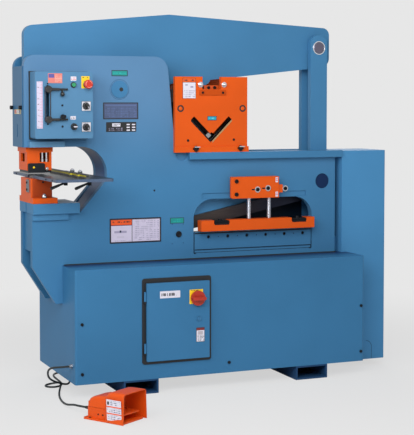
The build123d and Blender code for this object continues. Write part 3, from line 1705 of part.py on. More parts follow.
# Foot switch cord, from the gland down to the floor, round two loops, to the strain relief
cord_rest = cord_diameter / 2 + 0.3
relief_tail = relief_start - pedal_forward * 42
cord_route = [
    (gland_end, gland_y, gland_z),
    (gland_end - 39, gland_y, gland_z),
    (-823, -222, 138),
    (-828, -175, 121),
    (-820, -128, 94),
    (-805, -92, 66),
    (-783, -68, 46),
    (-752, -54, 31),
    (-720, -38, 18),
    (-693, -8, 9),
    (-673, 33, cord_rest),
    (-652, 82, cord_rest),
    (-622, 128, cord_rest),
    (-592, 172, cord_rest),
    (-585, 225, cord_rest),
    (-610, 270, cord_rest),
    (-655, 280, cord_rest),
    (-688, 248, cord_rest),
    (-701, 200, cord_rest),
    (-703, 140, cord_rest),
    (-704, 72, cord_rest),
    (-711, 16, cord_rest),
    (-732.5, -15.5, cord_rest),
    (-758, -26, cord_rest),
    (-783.5, -15.5, cord_rest),
    (-794, 10, cord_rest),
    (-783.5, 35.5, cord_rest),
    (-758, 46, 6),
    (-732.5, 35.5, 11),
    (-722, 10, 15),
    (-728, -24, 15),
    (-744, -66, 8.5),
    (-760, -110, cord_rest),
    (-775, -158, cord_rest),
    (-790, -214, cord_rest),
    (-801, -270, cord_rest),
    (-808, -330, cord_rest),
    (-809, -390, 8),
    (-805, -438, 17),
    (-799, -476, 25),
    (relief_tail.X, relief_tail.Y, relief_tail.Z),
    (relief_start.X, relief_start.Y, relief_start.Z),
]


def bend_radii(route):
    """Arc radius at each inner point: 0.45 of the shorter run over the tangent of half the turn."""
    radii = []
    for before, point, after in zip(route, route[1:], route[2:]):
        run_in = Vector(*point) - Vector(*before)
        run_out = Vector(*after) - Vector(*point)
        half_turn = radians(run_in.get_angle(run_out)) / 2
        radii.append(0.45 * min(run_in.length, run_out.length) / tan(half_turn))
    return radii


cord_radii = bend_radii(cord_route)
print("cord bend radii", [round(radius) for radius in cord_radii])
with BuildPart() as foot_switch_cord:
    with BuildLine() as cord_path:
        FilletPolyline(*cord_route, radius=cord_radii)
    with BuildSketch(Plane(origin=cord_route[0], z_dir=cord_path.line % 0)):
        Circle(cord_radius)
    sweep()

cord_length = cord_path.wires()[0].length
cord_section = pi * cord_radius**2
print("cord length", round(cord_length), "volume ratio",
      round(foot_switch_cord.part.volume / (cord_section * cord_length), 4))
foot_switch_cord.part.label = "foot_switch_cord"
export_step(foot_switch_cord.part, "parts/foot_switch_cord.step")
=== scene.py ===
from math import cos, pi, radians, sin

import bmesh
import bpy
from mathutils import Matrix, Vector


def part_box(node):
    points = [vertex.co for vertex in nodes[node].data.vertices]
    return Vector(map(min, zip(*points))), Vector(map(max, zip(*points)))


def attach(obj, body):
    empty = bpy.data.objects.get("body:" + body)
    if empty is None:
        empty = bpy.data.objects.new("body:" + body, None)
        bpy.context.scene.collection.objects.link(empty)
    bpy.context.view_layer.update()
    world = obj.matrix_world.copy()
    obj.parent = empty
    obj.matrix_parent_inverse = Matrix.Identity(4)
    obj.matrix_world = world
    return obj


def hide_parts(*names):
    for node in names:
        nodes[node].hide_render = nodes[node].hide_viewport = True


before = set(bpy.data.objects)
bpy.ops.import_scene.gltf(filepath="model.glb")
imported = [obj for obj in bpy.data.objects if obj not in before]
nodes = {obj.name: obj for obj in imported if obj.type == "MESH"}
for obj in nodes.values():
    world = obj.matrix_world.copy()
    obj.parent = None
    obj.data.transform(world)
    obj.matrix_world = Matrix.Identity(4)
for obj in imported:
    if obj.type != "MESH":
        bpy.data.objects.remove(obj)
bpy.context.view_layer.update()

scene = bpy.context.scene

# Hydraulic ironworker: finishes and small pieces on the fixed frame.
# Sizes are in millimetres, as in the part's source, and become metres where a piece is made.
MM = 0.001
FRONT = Vector((0, -1, 0))
BACK = Vector((0, 1, 0))
LEFT = Vector((-1, 0, 0))
RIGHT = Vector((1, 0, 0))
UP = Vector((0, 0, 1))


class Span:
    """The box of a node at rest, in millimetres."""

    def __init__(self, node):
        low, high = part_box(node)
        self.left, self.front, self.bottom = low / MM
        self.right, self.back, self.top = high / MM
        self.x, self.y, self.z = (low + high) / 2 / MM


# Camera, at the photograph's place
eye = Vector((-2336, -5676, 1310)) * MM
camera_turn = 22.49
camera_pitch = 3.0
camera_data = bpy.data.cameras.new("camera")
camera_data.lens = 105.37
camera_data.sensor_width = 36.0
camera_data.shift_y = -0.107
camera_data.clip_end = 60
camera = bpy.data.objects.new("camera", camera_data)
camera.location = eye
camera.rotation_euler = (radians(90 - camera_pitch), 0, radians(-camera_turn))
scene.collection.objects.link(camera)
scene.camera = camera
scene.view_settings.view_transform = "Standard"

# Foot switch cord, with the points of its route
cord_diameter = 9.0
cord_rest = cord_diameter / 2 + 0.3
cord_exit = (-754, -250, 143)
pedal_place = Vector((-737, -598, 0))
pedal_turn = -57.0
pedal_forward = Vector((cos(radians(pedal_turn)), sin(radians(pedal_turn)), 0))
relief_height = 28.0
relief_start = pedal_place - pedal_forward * 60 + UP * relief_height
relief_tail = relief_start - pedal_forward * 42
cord_route = [
    cord_exit,
    (-793, -250, 143),
    (-823, -222, 138),
    (-828, -175, 121),
    (-820, -128, 94),
    (-805, -92, 66),
    (-783, -68, 46),
    (-752, -54, 31),
    (-720, -38, 18),
    (-693, -8, 9),
    (-673, 33, cord_rest),
    (-652, 82, cord_rest),
    (-622, 128, cord_rest),
    (-592, 172, cord_rest),
    (-585, 225, cord_rest),
    (-610, 270, cord_rest),
    (-655, 280, cord_rest),
    (-688, 248, cord_rest),
    (-701, 200, cord_rest),
    (-703, 140, cord_rest),
    (-704, 72, cord_rest),
    (-711, 16, cord_rest),
    (-732.5, -15.5, cord_rest),
    (-758, -26, cord_rest),
    (-783.5, -15.5, cord_rest),
    (-794, 10, cord_rest),
    (-783.5, 35.5, cord_rest),
    (-758, 46, 6),
    (-732.5, 35.5, 11),
    (-722, 10, 15),
    (-728, -24, 15),
    (-744, -66, 8.5),
    (-760, -110, cord_rest),
    (-775, -158, cord_rest),
    (-790, -214, cord_rest),
    (-801, -270, cord_rest),
    (-808, -330, cord_rest),
    (-809, -390, 8),
    (-805, -438, 17),
    (-799, -476, 25),
    tuple(relief_tail),
    tuple(relief_start),
]


def free_cord():
    """The foot switch cord as a smooth tube along its route's own line."""
    data = bpy.data.curves.new("cord_line", "CURVE")
    data.dimensions = "3D"
    line = data.splines.new("NURBS")
    line.points.add(len(cord_route) - 1)
    for point, place in zip(line.points, cord_route):
        point.co = (place[0] * MM, place[1] * MM, place[2] * MM, 1)
    line.order_u = 3
    line.use_endpoint_u = True
    line.resolution_u = 10
    guide = bpy.data.objects.new("cord_line", data)
    scene.collection.objects.link(guide)
    centres = [tuple(vertex.co) for vertex in bpy.data.meshes.new_from_object(guide).vertices]
    data.bevel_depth = cord_diameter / 2 * MM
    data.bevel_resolution = 5
    data.use_fill_caps = True
    tube = bpy.data.meshes.new_from_object(guide)
    bpy.data.objects.remove(guide)
    tube.shade_smooth()
    tube.set_sharp_from_angle(angle=radians(50))
    piece = bpy.data.objects.new("cord_run", tube)
    scene.collection.objects.link(piece)
    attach(piece, "machine")
    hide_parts("foot_switch_cord")
    return piece


cord_run = free_cord()


# Shader values written as plain sums and products
def linear(red, green, blue):
    """A screen colour from 0 to 255 as the linear colour that a shader takes."""
    parts = [value / 255 for value in (red, green, blue)]
    return tuple(p / 12.92 if p <= 0.04045 else ((p + 0.055) / 1.055) ** 2.4 for p in parts) + (1.0,)


class Field:
    """A value that changes over a surface: one output socket of a finish."""

    def __init__(self, finish, socket):
        self.finish = finish
        self.socket = socket

    def maths(self, operation, other=None, flipped=False):
        values = [self] if other is None else [other, self] if flipped else [self, other]
        inputs = {place: value for place, value in enumerate(values)}
        return self.finish.node("ShaderNodeMath", {"operation": operation}, inputs)

    def __add__(self, other):
        return self.maths("ADD", other)

    __radd__ = __add__

    def __mul__(self, other):
        return self.maths("MULTIPLY", other)

    __rmul__ = __mul__

    def __sub__(self, other):
        return self.maths("SUBTRACT", other)

    def __rsub__(self, other):
        return self.maths("SUBTRACT", other, flipped=True)

    def __truediv__(self, other):
        return self.maths("DIVIDE", other)

    def __pow__(self, other):
        return self.maths("POWER", other)

    def __gt__(self, edge):
        return self.maths("GREATER_THAN", edge)

    def __lt__(self, edge):
        return self.maths("LESS_THAN", edge)

    def size(self):
        return self.maths("ABSOLUTE")

    def part(self):
        return self.maths("FRACT")

    def root(self):
        return self.maths("SQRT")

    def ease(self, low, high):
        """Rises smoothly from 0 at low to 1 at high."""
        settings = {"interpolation_type": "SMOOTHSTEP"}
        inputs = {"Value": self, "From Min": low, "From Max": high}
        return self.finish.node("ShaderNodeMapRange", settings, inputs)

    def within(self, low, high):
        return (self > low) * (self < high)


class Finish:
    """A material made of nodes, with the numbers that are the same all over set on its shader."""

    def __init__(self, name, colour, roughness, metallic=0.0, **constants):
        self.material = bpy.data.materials.new(name)
        self.material.use_nodes = True
        self.tree = self.material.node_tree
        self.shader = self.tree.nodes["Principled BSDF"]
        self.shader.inputs["Base Color"].default_value = colour
        self.shader.inputs["Roughness"].default_value = roughness
        self.shader.inputs["Metallic"].default_value = metallic
        for socket, value in constants.items():
            self.shader.inputs[socket.replace("_", " ")].default_value = value
        self.material.diffuse_color = colour

    def node(self, kind, settings=None, inputs=None, output=0):
        """Adds a node: its settings first, then the values or links of its sockets."""
        made = self.tree.nodes.new(kind)
        for setting, value in (settings or {}).items():
            setattr(made, setting, value)
        for socket, value in (inputs or {}).items():
            if isinstance(value, Field):
                self.tree.links.new(value.socket, made.inputs[socket])
            else:
                made.inputs[socket].default_value = value
        return Field(self, made.outputs[output])

    def place(self):
        """Where a point of the surface lies in its own object, in millimetres: x, y and z."""
        point = self.node("ShaderNodeTexCoord", output="Object")
        axes = self.node("ShaderNodeSeparateXYZ", inputs={0: point})
        return [Field(self, axes.socket.node.outputs[axis]) / MM for axis in range(3)]

    def noise(self, size, detail=2.0, stretch=(1, 1, 1)):
        """Soft noise with features of about that size in millimetres, longer along a stretched axis."""
        point = self.node("ShaderNodeTexCoord", output="Object")
        scale = tuple(1 / (size * MM * along) for along in stretch)
        moved = self.node("ShaderNodeMapping", None, {"Vector": point, "Scale": scale})
        return self.node("ShaderNodeTexNoise", None, {"Vector": moved, "Scale": 1.0, "Detail": detail})

    def mix(self, mask, first, second):
        """The first colour where the mask is 0, the second where it is 1."""
        made = self.node("ShaderNodeMix", {"data_type": "RGBA"}, output=2)
        mixer = made.socket.node
        for socket, value in ((0, mask), (6, first), (7, second)):
            if isinstance(value, Field):
                self.tree.links.new(value.socket, mixer.inputs[socket])
            else:
                mixer.inputs[socket].default_value = value
        return made

    def feed(self, **fields):
        """Links fields to the shader's sockets that may vary."""
        for socket, field in fields.items():
            self.tree.links.new(field.socket, self.shader.inputs[socket.replace("_", " ")])

    def relief(self, height=None, depth=0.1, strength=1.0, edge=0.0):
        """Fine relief of that depth in millimetres, on edges rounded by the edge radius."""
        normal = None
        if edge:
            normal = self.node("ShaderNodeBevel", {"samples": 4}, {"Radius": edge * MM})
        if height is not None:
            inputs = {"Height": height, "Distance": depth * MM, "Strength": strength}
            if normal is not None:
                inputs["Normal"] = normal
            normal = self.node("ShaderNodeBump", None, inputs)
        self.feed(Normal=normal)


def shade(colour, factor):
    """A colour made darker or lighter."""
    return tuple(min(1.0, value * factor) for value in colour[:3]) + (1.0,)


# Finishes
def enamel(name, colour, gloss=0.42, peel=0.10, edge=1.2, dust=0.06, shine=0.12, painted_sheen=0.0):
    """Sprayed machine enamel: orange peel, slow changes of tone, a thin film of dust in the grain, and where
    asked a painted sheen that grows towards the top.
    """
    finish = Finish(name, colour, gloss, Specular_IOR_Level=shine, Coat_Weight=0.02, Coat_Roughness=0.25)
    tone = finish.noise(420, detail=3)
    grain = finish.noise(9, detail=3)
    speck = finish.noise(2.2, detail=2)
    body = finish.mix(tone.ease(0.3, 0.7), shade(colour, 0.95), shade(colour, 1.05))
    body = finish.mix(grain.ease(0.35, 0.8) * dust, body, shade(colour, 1.25))
    body = finish.mix((speck > 0.68) * 0.18, body, shade(colour, 0.75))
    # painted sheen: a pale blue-white tint that rises with height and stands in for a reflection
    body = finish.mix(finish.place()[2].ease(880, 1420) * painted_sheen, body, linear(176, 182, 200))
    finish.feed(Base_Color=body, Roughness=gloss - 0.05 + tone * 0.06 + grain * 0.06)
    finish.relief(finish.noise(5.5, detail=1) + speck * 0.25, depth=peel, strength=0.35, edge=edge)
    return finish


def metal(name, colour, roughness, streak=(1, 1, 1), size=1.2, edge=0.5, depth=0.02):
    """Worked metal, with its marks stretched along the tool's way."""
    finish = Finish(name, colour, roughness, metallic=1.0)
    marks = finish.noise(size, detail=3, stretch=streak)
    cloud = finish.noise(60, detail=3)
    body = finish.mix(marks.ease(0.3, 0.7), shade(colour, 0.82), shade(colour, 1.12))
    body = finish.mix(cloud.ease(0.45, 0.75) * 0.25, body, shade(colour, 0.7))
    finish.feed(Base_Color=body, Roughness=roughness - 0.08 + marks * 0.12 + cloud * 0.08)
    finish.relief(marks, depth=depth, strength=0.4, edge=edge)
    return finish


def moulded(name, colour, roughness=0.3, grain=0.8, coat=0.3):
    """Moulded plastic with a fine grain."""
    finish = Finish(name, colour, roughness, Coat_Weight=coat, Coat_Roughness=0.12)
    pebble = finish.noise(grain, detail=1)
    tone = finish.noise(30, detail=2)
    finish.feed(
        Base_Color=finish.mix(tone.ease(0.3, 0.7), shade(colour, 0.9), shade(colour, 1.12)),
        Roughness=roughness + pebble * 0.12 - 0.04,
    )
    finish.relief(pebble, depth=0.03, strength=0.4, edge=0.6)
    return finish


blue = linear(66, 123, 166)
sheet_blue = linear(59, 117, 160)
orange = linear(222, 88, 22)
blue_enamel = enamel("blue_enamel", blue)
sheet_enamel = enamel("sheet_enamel", sheet_blue, gloss=0.44, peel=0.14, edge=1.6)
beam_enamel = enamel("beam_enamel", linear(70, 127, 170))
# a lighter copy of the machine's blue: painted light on the cylinder foot's front
foot_painted_light_enamel = enamel("foot_painted_light_enamel", linear(98, 146, 182))
liner_enamel = enamel("liner_enamel", linear(30, 74, 122), gloss=0.34)
# a darker copy of the machine's blue: painted shade on the fork tubes
tube_painted_shade_enamel = enamel("tube_painted_shade_enamel", linear(34, 68, 106), gloss=0.48)
orange_enamel = enamel("orange_enamel", orange, gloss=0.40, dust=0.04, shine=0.16)
cast_orange = enamel("cast_orange", linear(224, 84, 20), gloss=0.34, peel=0.3, edge=2.5, dust=0.04, shine=0.2)
grey_enamel = enamel("grey_enamel", linear(120, 124, 128), gloss=0.48)
ground_steel = metal("ground_steel", linear(150, 148, 144), 0.36, streak=(14, 1, 1))
turned_steel = metal("turned_steel", linear(176, 178, 182), 0.26, streak=(1, 1, 9), size=0.8)
chrome = metal("chrome", linear(224, 226, 232), 0.13, size=3.0, edge=0.3, depth=0.01)
pin_steel = metal("pin_steel", linear(120, 116, 134), 0.32, size=1.6)
black_oxide = metal("black_oxide", linear(44, 46, 50), 0.40, size=2.0)
black_paint = enamel("black_paint", linear(30, 34, 38), gloss=0.34, dust=0.04)
black_plastic = moulded("black_plastic", linear(22, 24, 26), 0.34)
green_plastic = moulded("green_plastic", linear(30, 150, 96), 0.22, coat=0.6)
red_plastic = moulded("red_plastic", linear(196, 36, 12))
handle_red = moulded("handle_red", linear(176, 40, 14), 0.34)
switch_white = moulded("switch_white", linear(216, 214, 226), 0.42, coat=0.1)
yellow_plate = moulded("yellow_plate", linear(248, 204, 6), 0.40, coat=0.1)
rubber = moulded("rubber", linear(26, 30, 32), 0.52, grain=1.6, coat=0.05)
gunmetal = metal("gunmetal", linear(70, 72, 80), 0.34, size=2.0)
# a bright brass-like steel used as a painted highlight on the right V edge
edge_highlight_metal = metal("edge_highlight_metal", linear(206, 176, 128), 0.34, streak=(6, 1, 1))


def cord_jacket():
    """Rubber cord jacket with lighter, dusty scuffed patches and a fine grain."""
    finish = Finish("cord_jacket", linear(22, 30, 30), 0.5)
    scuff = finish.noise(18, detail=4)
    fine = finish.noise(1.5, detail=2)
    finish.feed(
        Base_Color=finish.mix(scuff.ease(0.45, 0.75) * 0.5, linear(18, 26, 27), linear(52, 60, 58)),
        Roughness=0.4 + scuff * 0.25,
    )
    finish.relief(fine, depth=0.05, strength=0.5)
    return finish


def arm_finish():
    """Shear arm: blue enamel with painted light at the left and painted shade towards the links, with darker
    random patches.
    """
    finish = Finish("arm_enamel", blue, 0.45, Specular_IOR_Level=0.28)
    across = finish.place()[0]
    tone = finish.noise(60, detail=4)
    # painted light and shade: bright blue at the left, falling to near black towards the links
    paint = finish.mix(across.ease(-120, 380), shade(blue, 2.2), shade(blue, 0.16))
    body = finish.mix(tone.ease(0.5, 0.8) * 0.2, paint, shade(blue, 0.4))
    finish.feed(Base_Color=body, Roughness=0.38 + tone * 0.12)
    finish.relief(finish.noise(6, detail=2), depth=0.12, strength=0.4, edge=1.0)
    return finish


def blade_finish():
    """Upper shear blade: brown-grey steel turning darker and bluer towards the right, and a thin bright edge.
    """
    finish = Finish("blade_steel", linear(70, 64, 64), 0.42, metallic=0.7)
    across = finish.place()[0]
    grain = finish.noise(3, detail=3, stretch=(14, 1, 1))
    brown = finish.mix(grain, linear(66, 58, 56), linear(92, 86, 84))
    # darker and bluer towards the right
    dark_right_steel = finish.mix(grain, linear(20, 24, 38), linear(36, 42, 60))
    finish.feed(Base_Color=finish.mix(across.ease(0, 360), brown, dark_right_steel), Roughness=0.34 + grain * 0.18)
    finish.relief(grain, depth=0.04, strength=0.4, edge=0.5)
    return finish


def enclosure_finish():
    """The enclosure: a black rim that is its seal and also painted shade of the gap round the door, light
    grey enamel inside.
    """
    finish = Finish("enclosure_finish", linear(200, 202, 200), 0.45)
    depth = finish.place()[1]
    tone = finish.noise(90, detail=3)
    inside = finish.mix(tone, linear(176, 180, 178), linear(206, 208, 204))
    # the black rim is part seal, part painted shade of the gap round the door
    rim = finish.mix(finish.noise(3, detail=2), linear(12, 14, 18), linear(24, 26, 30))
    seam = Span("front_cover").front + 0.5
    finish.feed(Base_Color=finish.mix(depth > seam, rim, inside), Roughness=0.4 + tone * 0.15)
    finish.relief(finish.noise(4, detail=2), depth=0.1, strength=0.4, edge=1.0)
    return finish


def fence_finish():
    """Fence bar with a yellow scale tape: fine black divisions, wider at every fifth."""
    finish = Finish("fence_finish", linear(80, 84, 92), 0.4, metallic=0.4)
    across, along, height = finish.place()
    tick = (along / 10).part() < 0.16
    fifth = (along / 50).part() < 0.05
    bar = Span("table_fence")
    reach = finish.node("ShaderNodeMath", {"operation": "MAXIMUM"}, {0: tick * 0.45, 1: fifth * 0.9})
    mark = reach * (height > bar.bottom + 6)
    tape = finish.mix(mark > 0.2, linear(206, 194, 40), linear(40, 42, 36))
    on_tape = height.within(bar.bottom + 8, bar.bottom + 15)
    steel = finish.mix(finish.noise(3, stretch=(1, 12, 1)), linear(54, 58, 62), linear(92, 96, 102))
    finish.feed(Base_Color=finish.mix(on_tape * 0.9, steel, tape), Roughness=0.35 + finish.noise(20) * 0.2)
    finish.relief(edge=0.6)
    return finish


def table_finish():
    """Gauging table: worn dark enamel on top with fine scratches, bright ground edges."""
    finish = Finish("table_finish", linear(70, 78, 86), 0.38, metallic=0.25)
    scratch = finish.noise(2.4, detail=4, stretch=(1, 26, 1))
    cross = finish.noise(2.4, detail=4, stretch=(22, 1, 1))
    worn = finish.noise(70, detail=4)
    body = finish.mix(worn.ease(0.35, 0.7), linear(34, 42, 50), linear(58, 68, 80))
    body = finish.mix((scratch > 0.66) * 0.35, body, linear(150, 158, 166))
    body = finish.mix((cross > 0.68) * 0.25, body, linear(150, 158, 166))
    rolled = finish.mix(scratch.ease(0.35, 0.65), linear(62, 80, 106), linear(86, 104, 130))
    body = finish.mix(finish.place()[2] > Span("gauging_table").top - 0.4, rolled, body)
    finish.feed(Base_Color=body, Roughness=0.3 + worn * 0.2)
    finish.relief(scratch, depth=0.05, strength=0.4, edge=0.6)
    return finish


# Printed plates: coloured fields and generic rows of print, in the plate's own millimetres
def printed(name, ground, fields=(), rows=(), border=None):
    """Fields are (left, right, bottom, top, colour); rows are (left, right, bottom, top, pitch, colour)."""
    gloss = 0.38
    finish = Finish(name, ground, gloss, Coat_Weight=0.2, Coat_Roughness=0.15)
    across, _, height = finish.place()
    soil = finish.noise(25, detail=3)
    body = finish.mix(soil.ease(0.4, 0.8) * 0.12, ground, shade(ground, 0.6))
    for left, right, bottom, top, colour in fields:
        body = finish.mix(across.within(left, right) * height.within(bottom, top), body, colour)
    for left, right, bottom, top, pitch, colour in rows:
        letters = finish.noise(pitch * 0.42, detail=1, stretch=(1, 1, 40)) > 0.47
        words = finish.noise(pitch * 2.2, detail=0) > 0.40
        row = ((height - bottom) / pitch).part().within(0.25, 0.75)
        inside = across.within(left, right) * height.within(bottom, top)
        body = finish.mix(letters * words * row * inside * 0.85, body, colour)
    if border:
        half_width, half_height, colour = border
        edge = 1 - (across.size() < half_width) * (height.size() < half_height)
        body = finish.mix(edge, body, colour)
    finish.feed(Base_Color=body, Roughness=gloss + soil * 0.08)
    finish.relief(finish.noise(6, detail=1), depth=0.03, strength=0.3, edge=0.3)
    return finish


# Meshes, made in millimetres
def basis(axis):
    """Two directions square to an axis."""
    side = UP if abs(axis.z) < 0.9 else RIGHT
    across = axis.cross(side).normalized()
    return across, axis.cross(across).normalized()


class Shape:
    """A mesh in the making."""

    def __init__(self):
        self.mesh = bmesh.new()

    def block(self, left, right, front, back, bottom, top, round_off=0.0):
        verts = bmesh.ops.create_cube(self.mesh, size=1)["verts"]
        size = Vector((right - left, back - front, top - bottom))
        middle = Vector((left + right, front + back, bottom + top)) / 2
        for vert in verts:
            vert.co = Vector(a * b for a, b in zip(vert.co, size)) + middle
        if round_off:
            edges = list(dict.fromkeys(edge for vert in verts for edge in vert.link_edges))
            bmesh.ops.bevel(self.mesh, geom=edges, offset=round_off, segments=2, affect="EDGES")
        return self

    def turned(self, foot, axis, profile, sides=32, wave=0.0, lobes=0):
        """A form turned about an axis: profile is pairs of distance along it and radius."""
        foot, axis = Vector(foot), Vector(axis).normalized()
        across, up = basis(axis)
        rings = []
        for along, radius in profile:
            if radius <= 0:
                rings.append([self.mesh.verts.new(foot + axis * along)])
                continue
            ring = []
            for step in range(sides):
                angle = 2 * pi * (step + 0.5) / sides
                reach = radius * (1 + wave * cos(lobes * angle))
                outward = across * cos(angle) + up * sin(angle)
                ring.append(self.mesh.verts.new(foot + axis * along + outward * reach))
            rings.append(ring)
        for first, second in zip(rings, rings[1:]):
            for step in range(max(len(first), len(second))):
                after = (step + 1) % sides
                corners = [first[step % len(first)], first[after % len(first)],
                           second[after % len(second)], second[step % len(second)]]
                self.mesh.faces.new(list(dict.fromkeys(corners)))
        return self

    def button(self, foot, axis, radius, height, crown, sides=20):
        """A low round head whose face is narrower than its foot."""
        return self.turned(foot, axis, [(0, 0), (0, radius), (height, crown), (height, 0)], sides=sides)

    def ring(self, foot, axis, inner, outer, height, sides=40):
        """A flat ring, closed all round."""
        foot, axis = Vector(foot), Vector(axis).normalized()
        across, up = basis(axis)
        loops = []
        for along, radius in ((0, inner), (0, outer), (height, outer), (height, inner)):
            loops.append([
                self.mesh.verts.new(foot + axis * along + (across * cos(2 * pi * step / sides)
                                                           + up * sin(2 * pi * step / sides)) * radius)
                for step in range(sides)
            ])
        for first, second in zip(loops, loops[1:] + loops[:1]):
            for step in range(sides):
                after = (step + 1) % sides
                self.mesh.faces.new([first[step], first[after], second[after], second[step]])
        return self

    def prism(self, outline, foot, depth):
        """An upright outline carried forward."""
        foot = Vector(foot)
        ends = []
        for along in (0, depth):
            ends.append([self.mesh.verts.new(foot + RIGHT * u + UP * v + FRONT * along) for u, v in outline])
        count = len(outline)
        self.mesh.faces.new(ends[0][::-1])
        self.mesh.faces.new(ends[1])
        for step in range(count):
            after = (step + 1) % count
            self.mesh.faces.new([ends[0][step], ends[0][after], ends[1][after], ends[1][step]])
        return self

    def loft(self, sections):
        """Skin over sections that have the same number of points, closed at both ends."""
        loops = [[self.mesh.verts.new(Vector(point)) for point in section] for section in sections]
        count = len(loops[0])
        for first, second in zip(loops, loops[1:]):
            for step in range(count):
                after = (step + 1) % count
                self.mesh.faces.new([first[step], first[after], second[after], second[step]])
        self.mesh.faces.new(loops[0][::-1])
        self.mesh.faces.new(loops[-1])
        return self

    def soften(self, width, segments=2, angle=30):
        """Rounds the edges that are sharper than an angle."""
        self.mesh.normal_update()
        edges = [edge for edge in self.mesh.edges
                 if len(edge.link_faces) == 2 and edge.calc_face_angle(0) > radians(angle)]
        bmesh.ops.bevel(self.mesh, geom=edges, offset=width, segments=segments, affect="EDGES",
                        clamp_overlap=True)
        return self

    def moved(self, matrix):
        self.mesh.transform(matrix)
        return self

    def piece(self, name, finish, body, slot, origin=(0, 0, 0), replaces=(), turn=None):
        """Makes the object, in metres, and hands it to its body."""
        origin = Vector(origin)
        bmesh.ops.recalc_face_normals(self.mesh, faces=self.mesh.faces)
        if turn is None:
            self.mesh.transform(Matrix.Translation(-origin))
        self.mesh.transform(Matrix.Scale(MM, 4))
        data = bpy.data.meshes.new(name)
        self.mesh.to_mesh(data)
        self.mesh.free()
        data.shade_smooth()
        data.set_sharp_from_angle(angle=radians(32))
        data.materials.append(finish.material)
        made = bpy.data.objects.new(name, data)
        scene.collection.objects.link(made)
        place = Matrix.Translation(origin * MM)
        made.matrix_world = place @ turn if turn is not None else place
        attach(made, body)
        if replaces:
            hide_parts(*replaces)
        return made


def arc(cx, cy, radius, start, end, steps):
    """Points on an arc, its angles in degrees."""
    angles = [radians(start + (end - start) * step / steps) for step in range(steps + 1)]
    return [(cx + radius * cos(a), cy + radius * sin(a)) for a in angles]


def rounded(width, height, radius):
    """A rounded rectangle round its own middle."""
    x, y = width / 2 - radius, height / 2 - radius
    corners = ((x, y, 0), (-x, y, 90), (-x, -y, 180), (x, -y, 270))
    return [point for cx, cy, start in corners for point in arc(cx, cy, radius, start, start + 90, 4)]


def plate(name, finish, place, size, body="machine", radius=1.5, turn=None):
    """A thin plate lying on an upright face, looking to the front unless it is turned."""
    thickness = 0.8
    turn = Matrix.Identity(4) if turn is None else turn
    shape = Shape().prism(rounded(*size, radius), (0, 0, 0), thickness)
    return shape.piece(name, finish, body, "grey_paint", origin=place, turn=turn)


def label(name, ground, place, size, body="machine", radius=1.5, turn=None, **print_marks):
    """A plate with its own print: fields, rows and border."""
    return plate(name, printed(f"{name}_print", ground, **print_marks), place, size, body, radius, turn)


def socket_head(shape, foot, axis, radius, height):
    """A cap screw's head with its hexagon socket."""
    inner = radius * 0.52
    shape.turned(foot, axis, [
        (0, 0), (0, radius), (height - 0.12 * radius, radius), (height, radius * 0.88),
        (height, inner * 1.08), (height - 0.1 * radius, inner), (height * 0.45, inner), (height * 0.45, 0),
    ], sides=30)
    return shape


def hex_nut(shape, foot, axis, across_flats, height, bore):
    """A chamfered nut with the domed end of its stud."""
    reach = across_flats / 2 / cos(pi / 6)
    nut = [(0, 0), (0, reach), (height * 0.85, reach), (height, reach * 0.88), (height, 0)]
    dome = [(-0.5, 0), (-0.5, bore), (bore * 0.5, bore), (bore * 0.8, bore * 0.7), (bore * 0.8, 0)]
    shape.turned(foot, axis, nut, sides=6)
    shape.turned(Vector(foot) + Vector(axis) * height, axis, dome, sides=20)
    return shape


def threaded(shape, foot, axis, radius, length, pitch):
    """A stud whose thread is a row of grooves."""
    profile = [(0, 0), (0, radius * 0.86)]
    turns = int(length / pitch)
    for turn in range(turns):
        profile += [((turn + 0.25) * pitch, radius), ((turn + 0.45) * pitch, radius),
                    ((turn + 0.75) * pitch, radius * 0.86), ((turn + 0.95) * pitch, radius * 0.86)]
    profile += [(length, radius * 0.8), (length, 0)]
    shape.turned(foot, axis, profile, sides=24)
    return shape


def wear(finish, *names):
    """Gives a finish to CAD nodes."""
    for name in names:
        materials = nodes[name].data.materials
        materials.clear()
        materials.append(finish.material)


# Finishes of the machine's own solids
control = Span("control_box")
head = Span("front_frame_plate")
housing = Span("angle_shear_housing")
bracket = Span("hold_down_bracket")
clamp_bar = Span("hold_down_bar")
rim = Span("enclosure_box")
cover = Span("front_cover")
column = Span("column_cover")
guard = Span("punch_housing")
strip = Span("stripper")
die_base = Span("die_block")
bed = Span("lower_blade_bed")
table = Span("gauging_table")
nose = Span("nose_cover")
isolator = Span("isolator_handle")
hub_pin = Span("main_pivot_pin")
low_pin = Span("lower_link_pin")
high_pin = Span("upper_link_pin")
link_pair = Span("shear_links")
studs = Span("hold_down_studs")
isolator_shaft_reach = 8.5
door_face = isolator.back - isolator_shaft_reach
start_knob = Span("start_button")
stop_knob = Span("estop_button")
upper_mode = Span("upper_mode_knob")
lower_mode = Span("lower_mode_knob")
selector = Span("selector_knob")
fence = Span("table_fence")
gauge_foot = 15.0
slot_x = Span("upper_stroke_arm").left + gauge_foot
angle_face = housing.front + 6.5


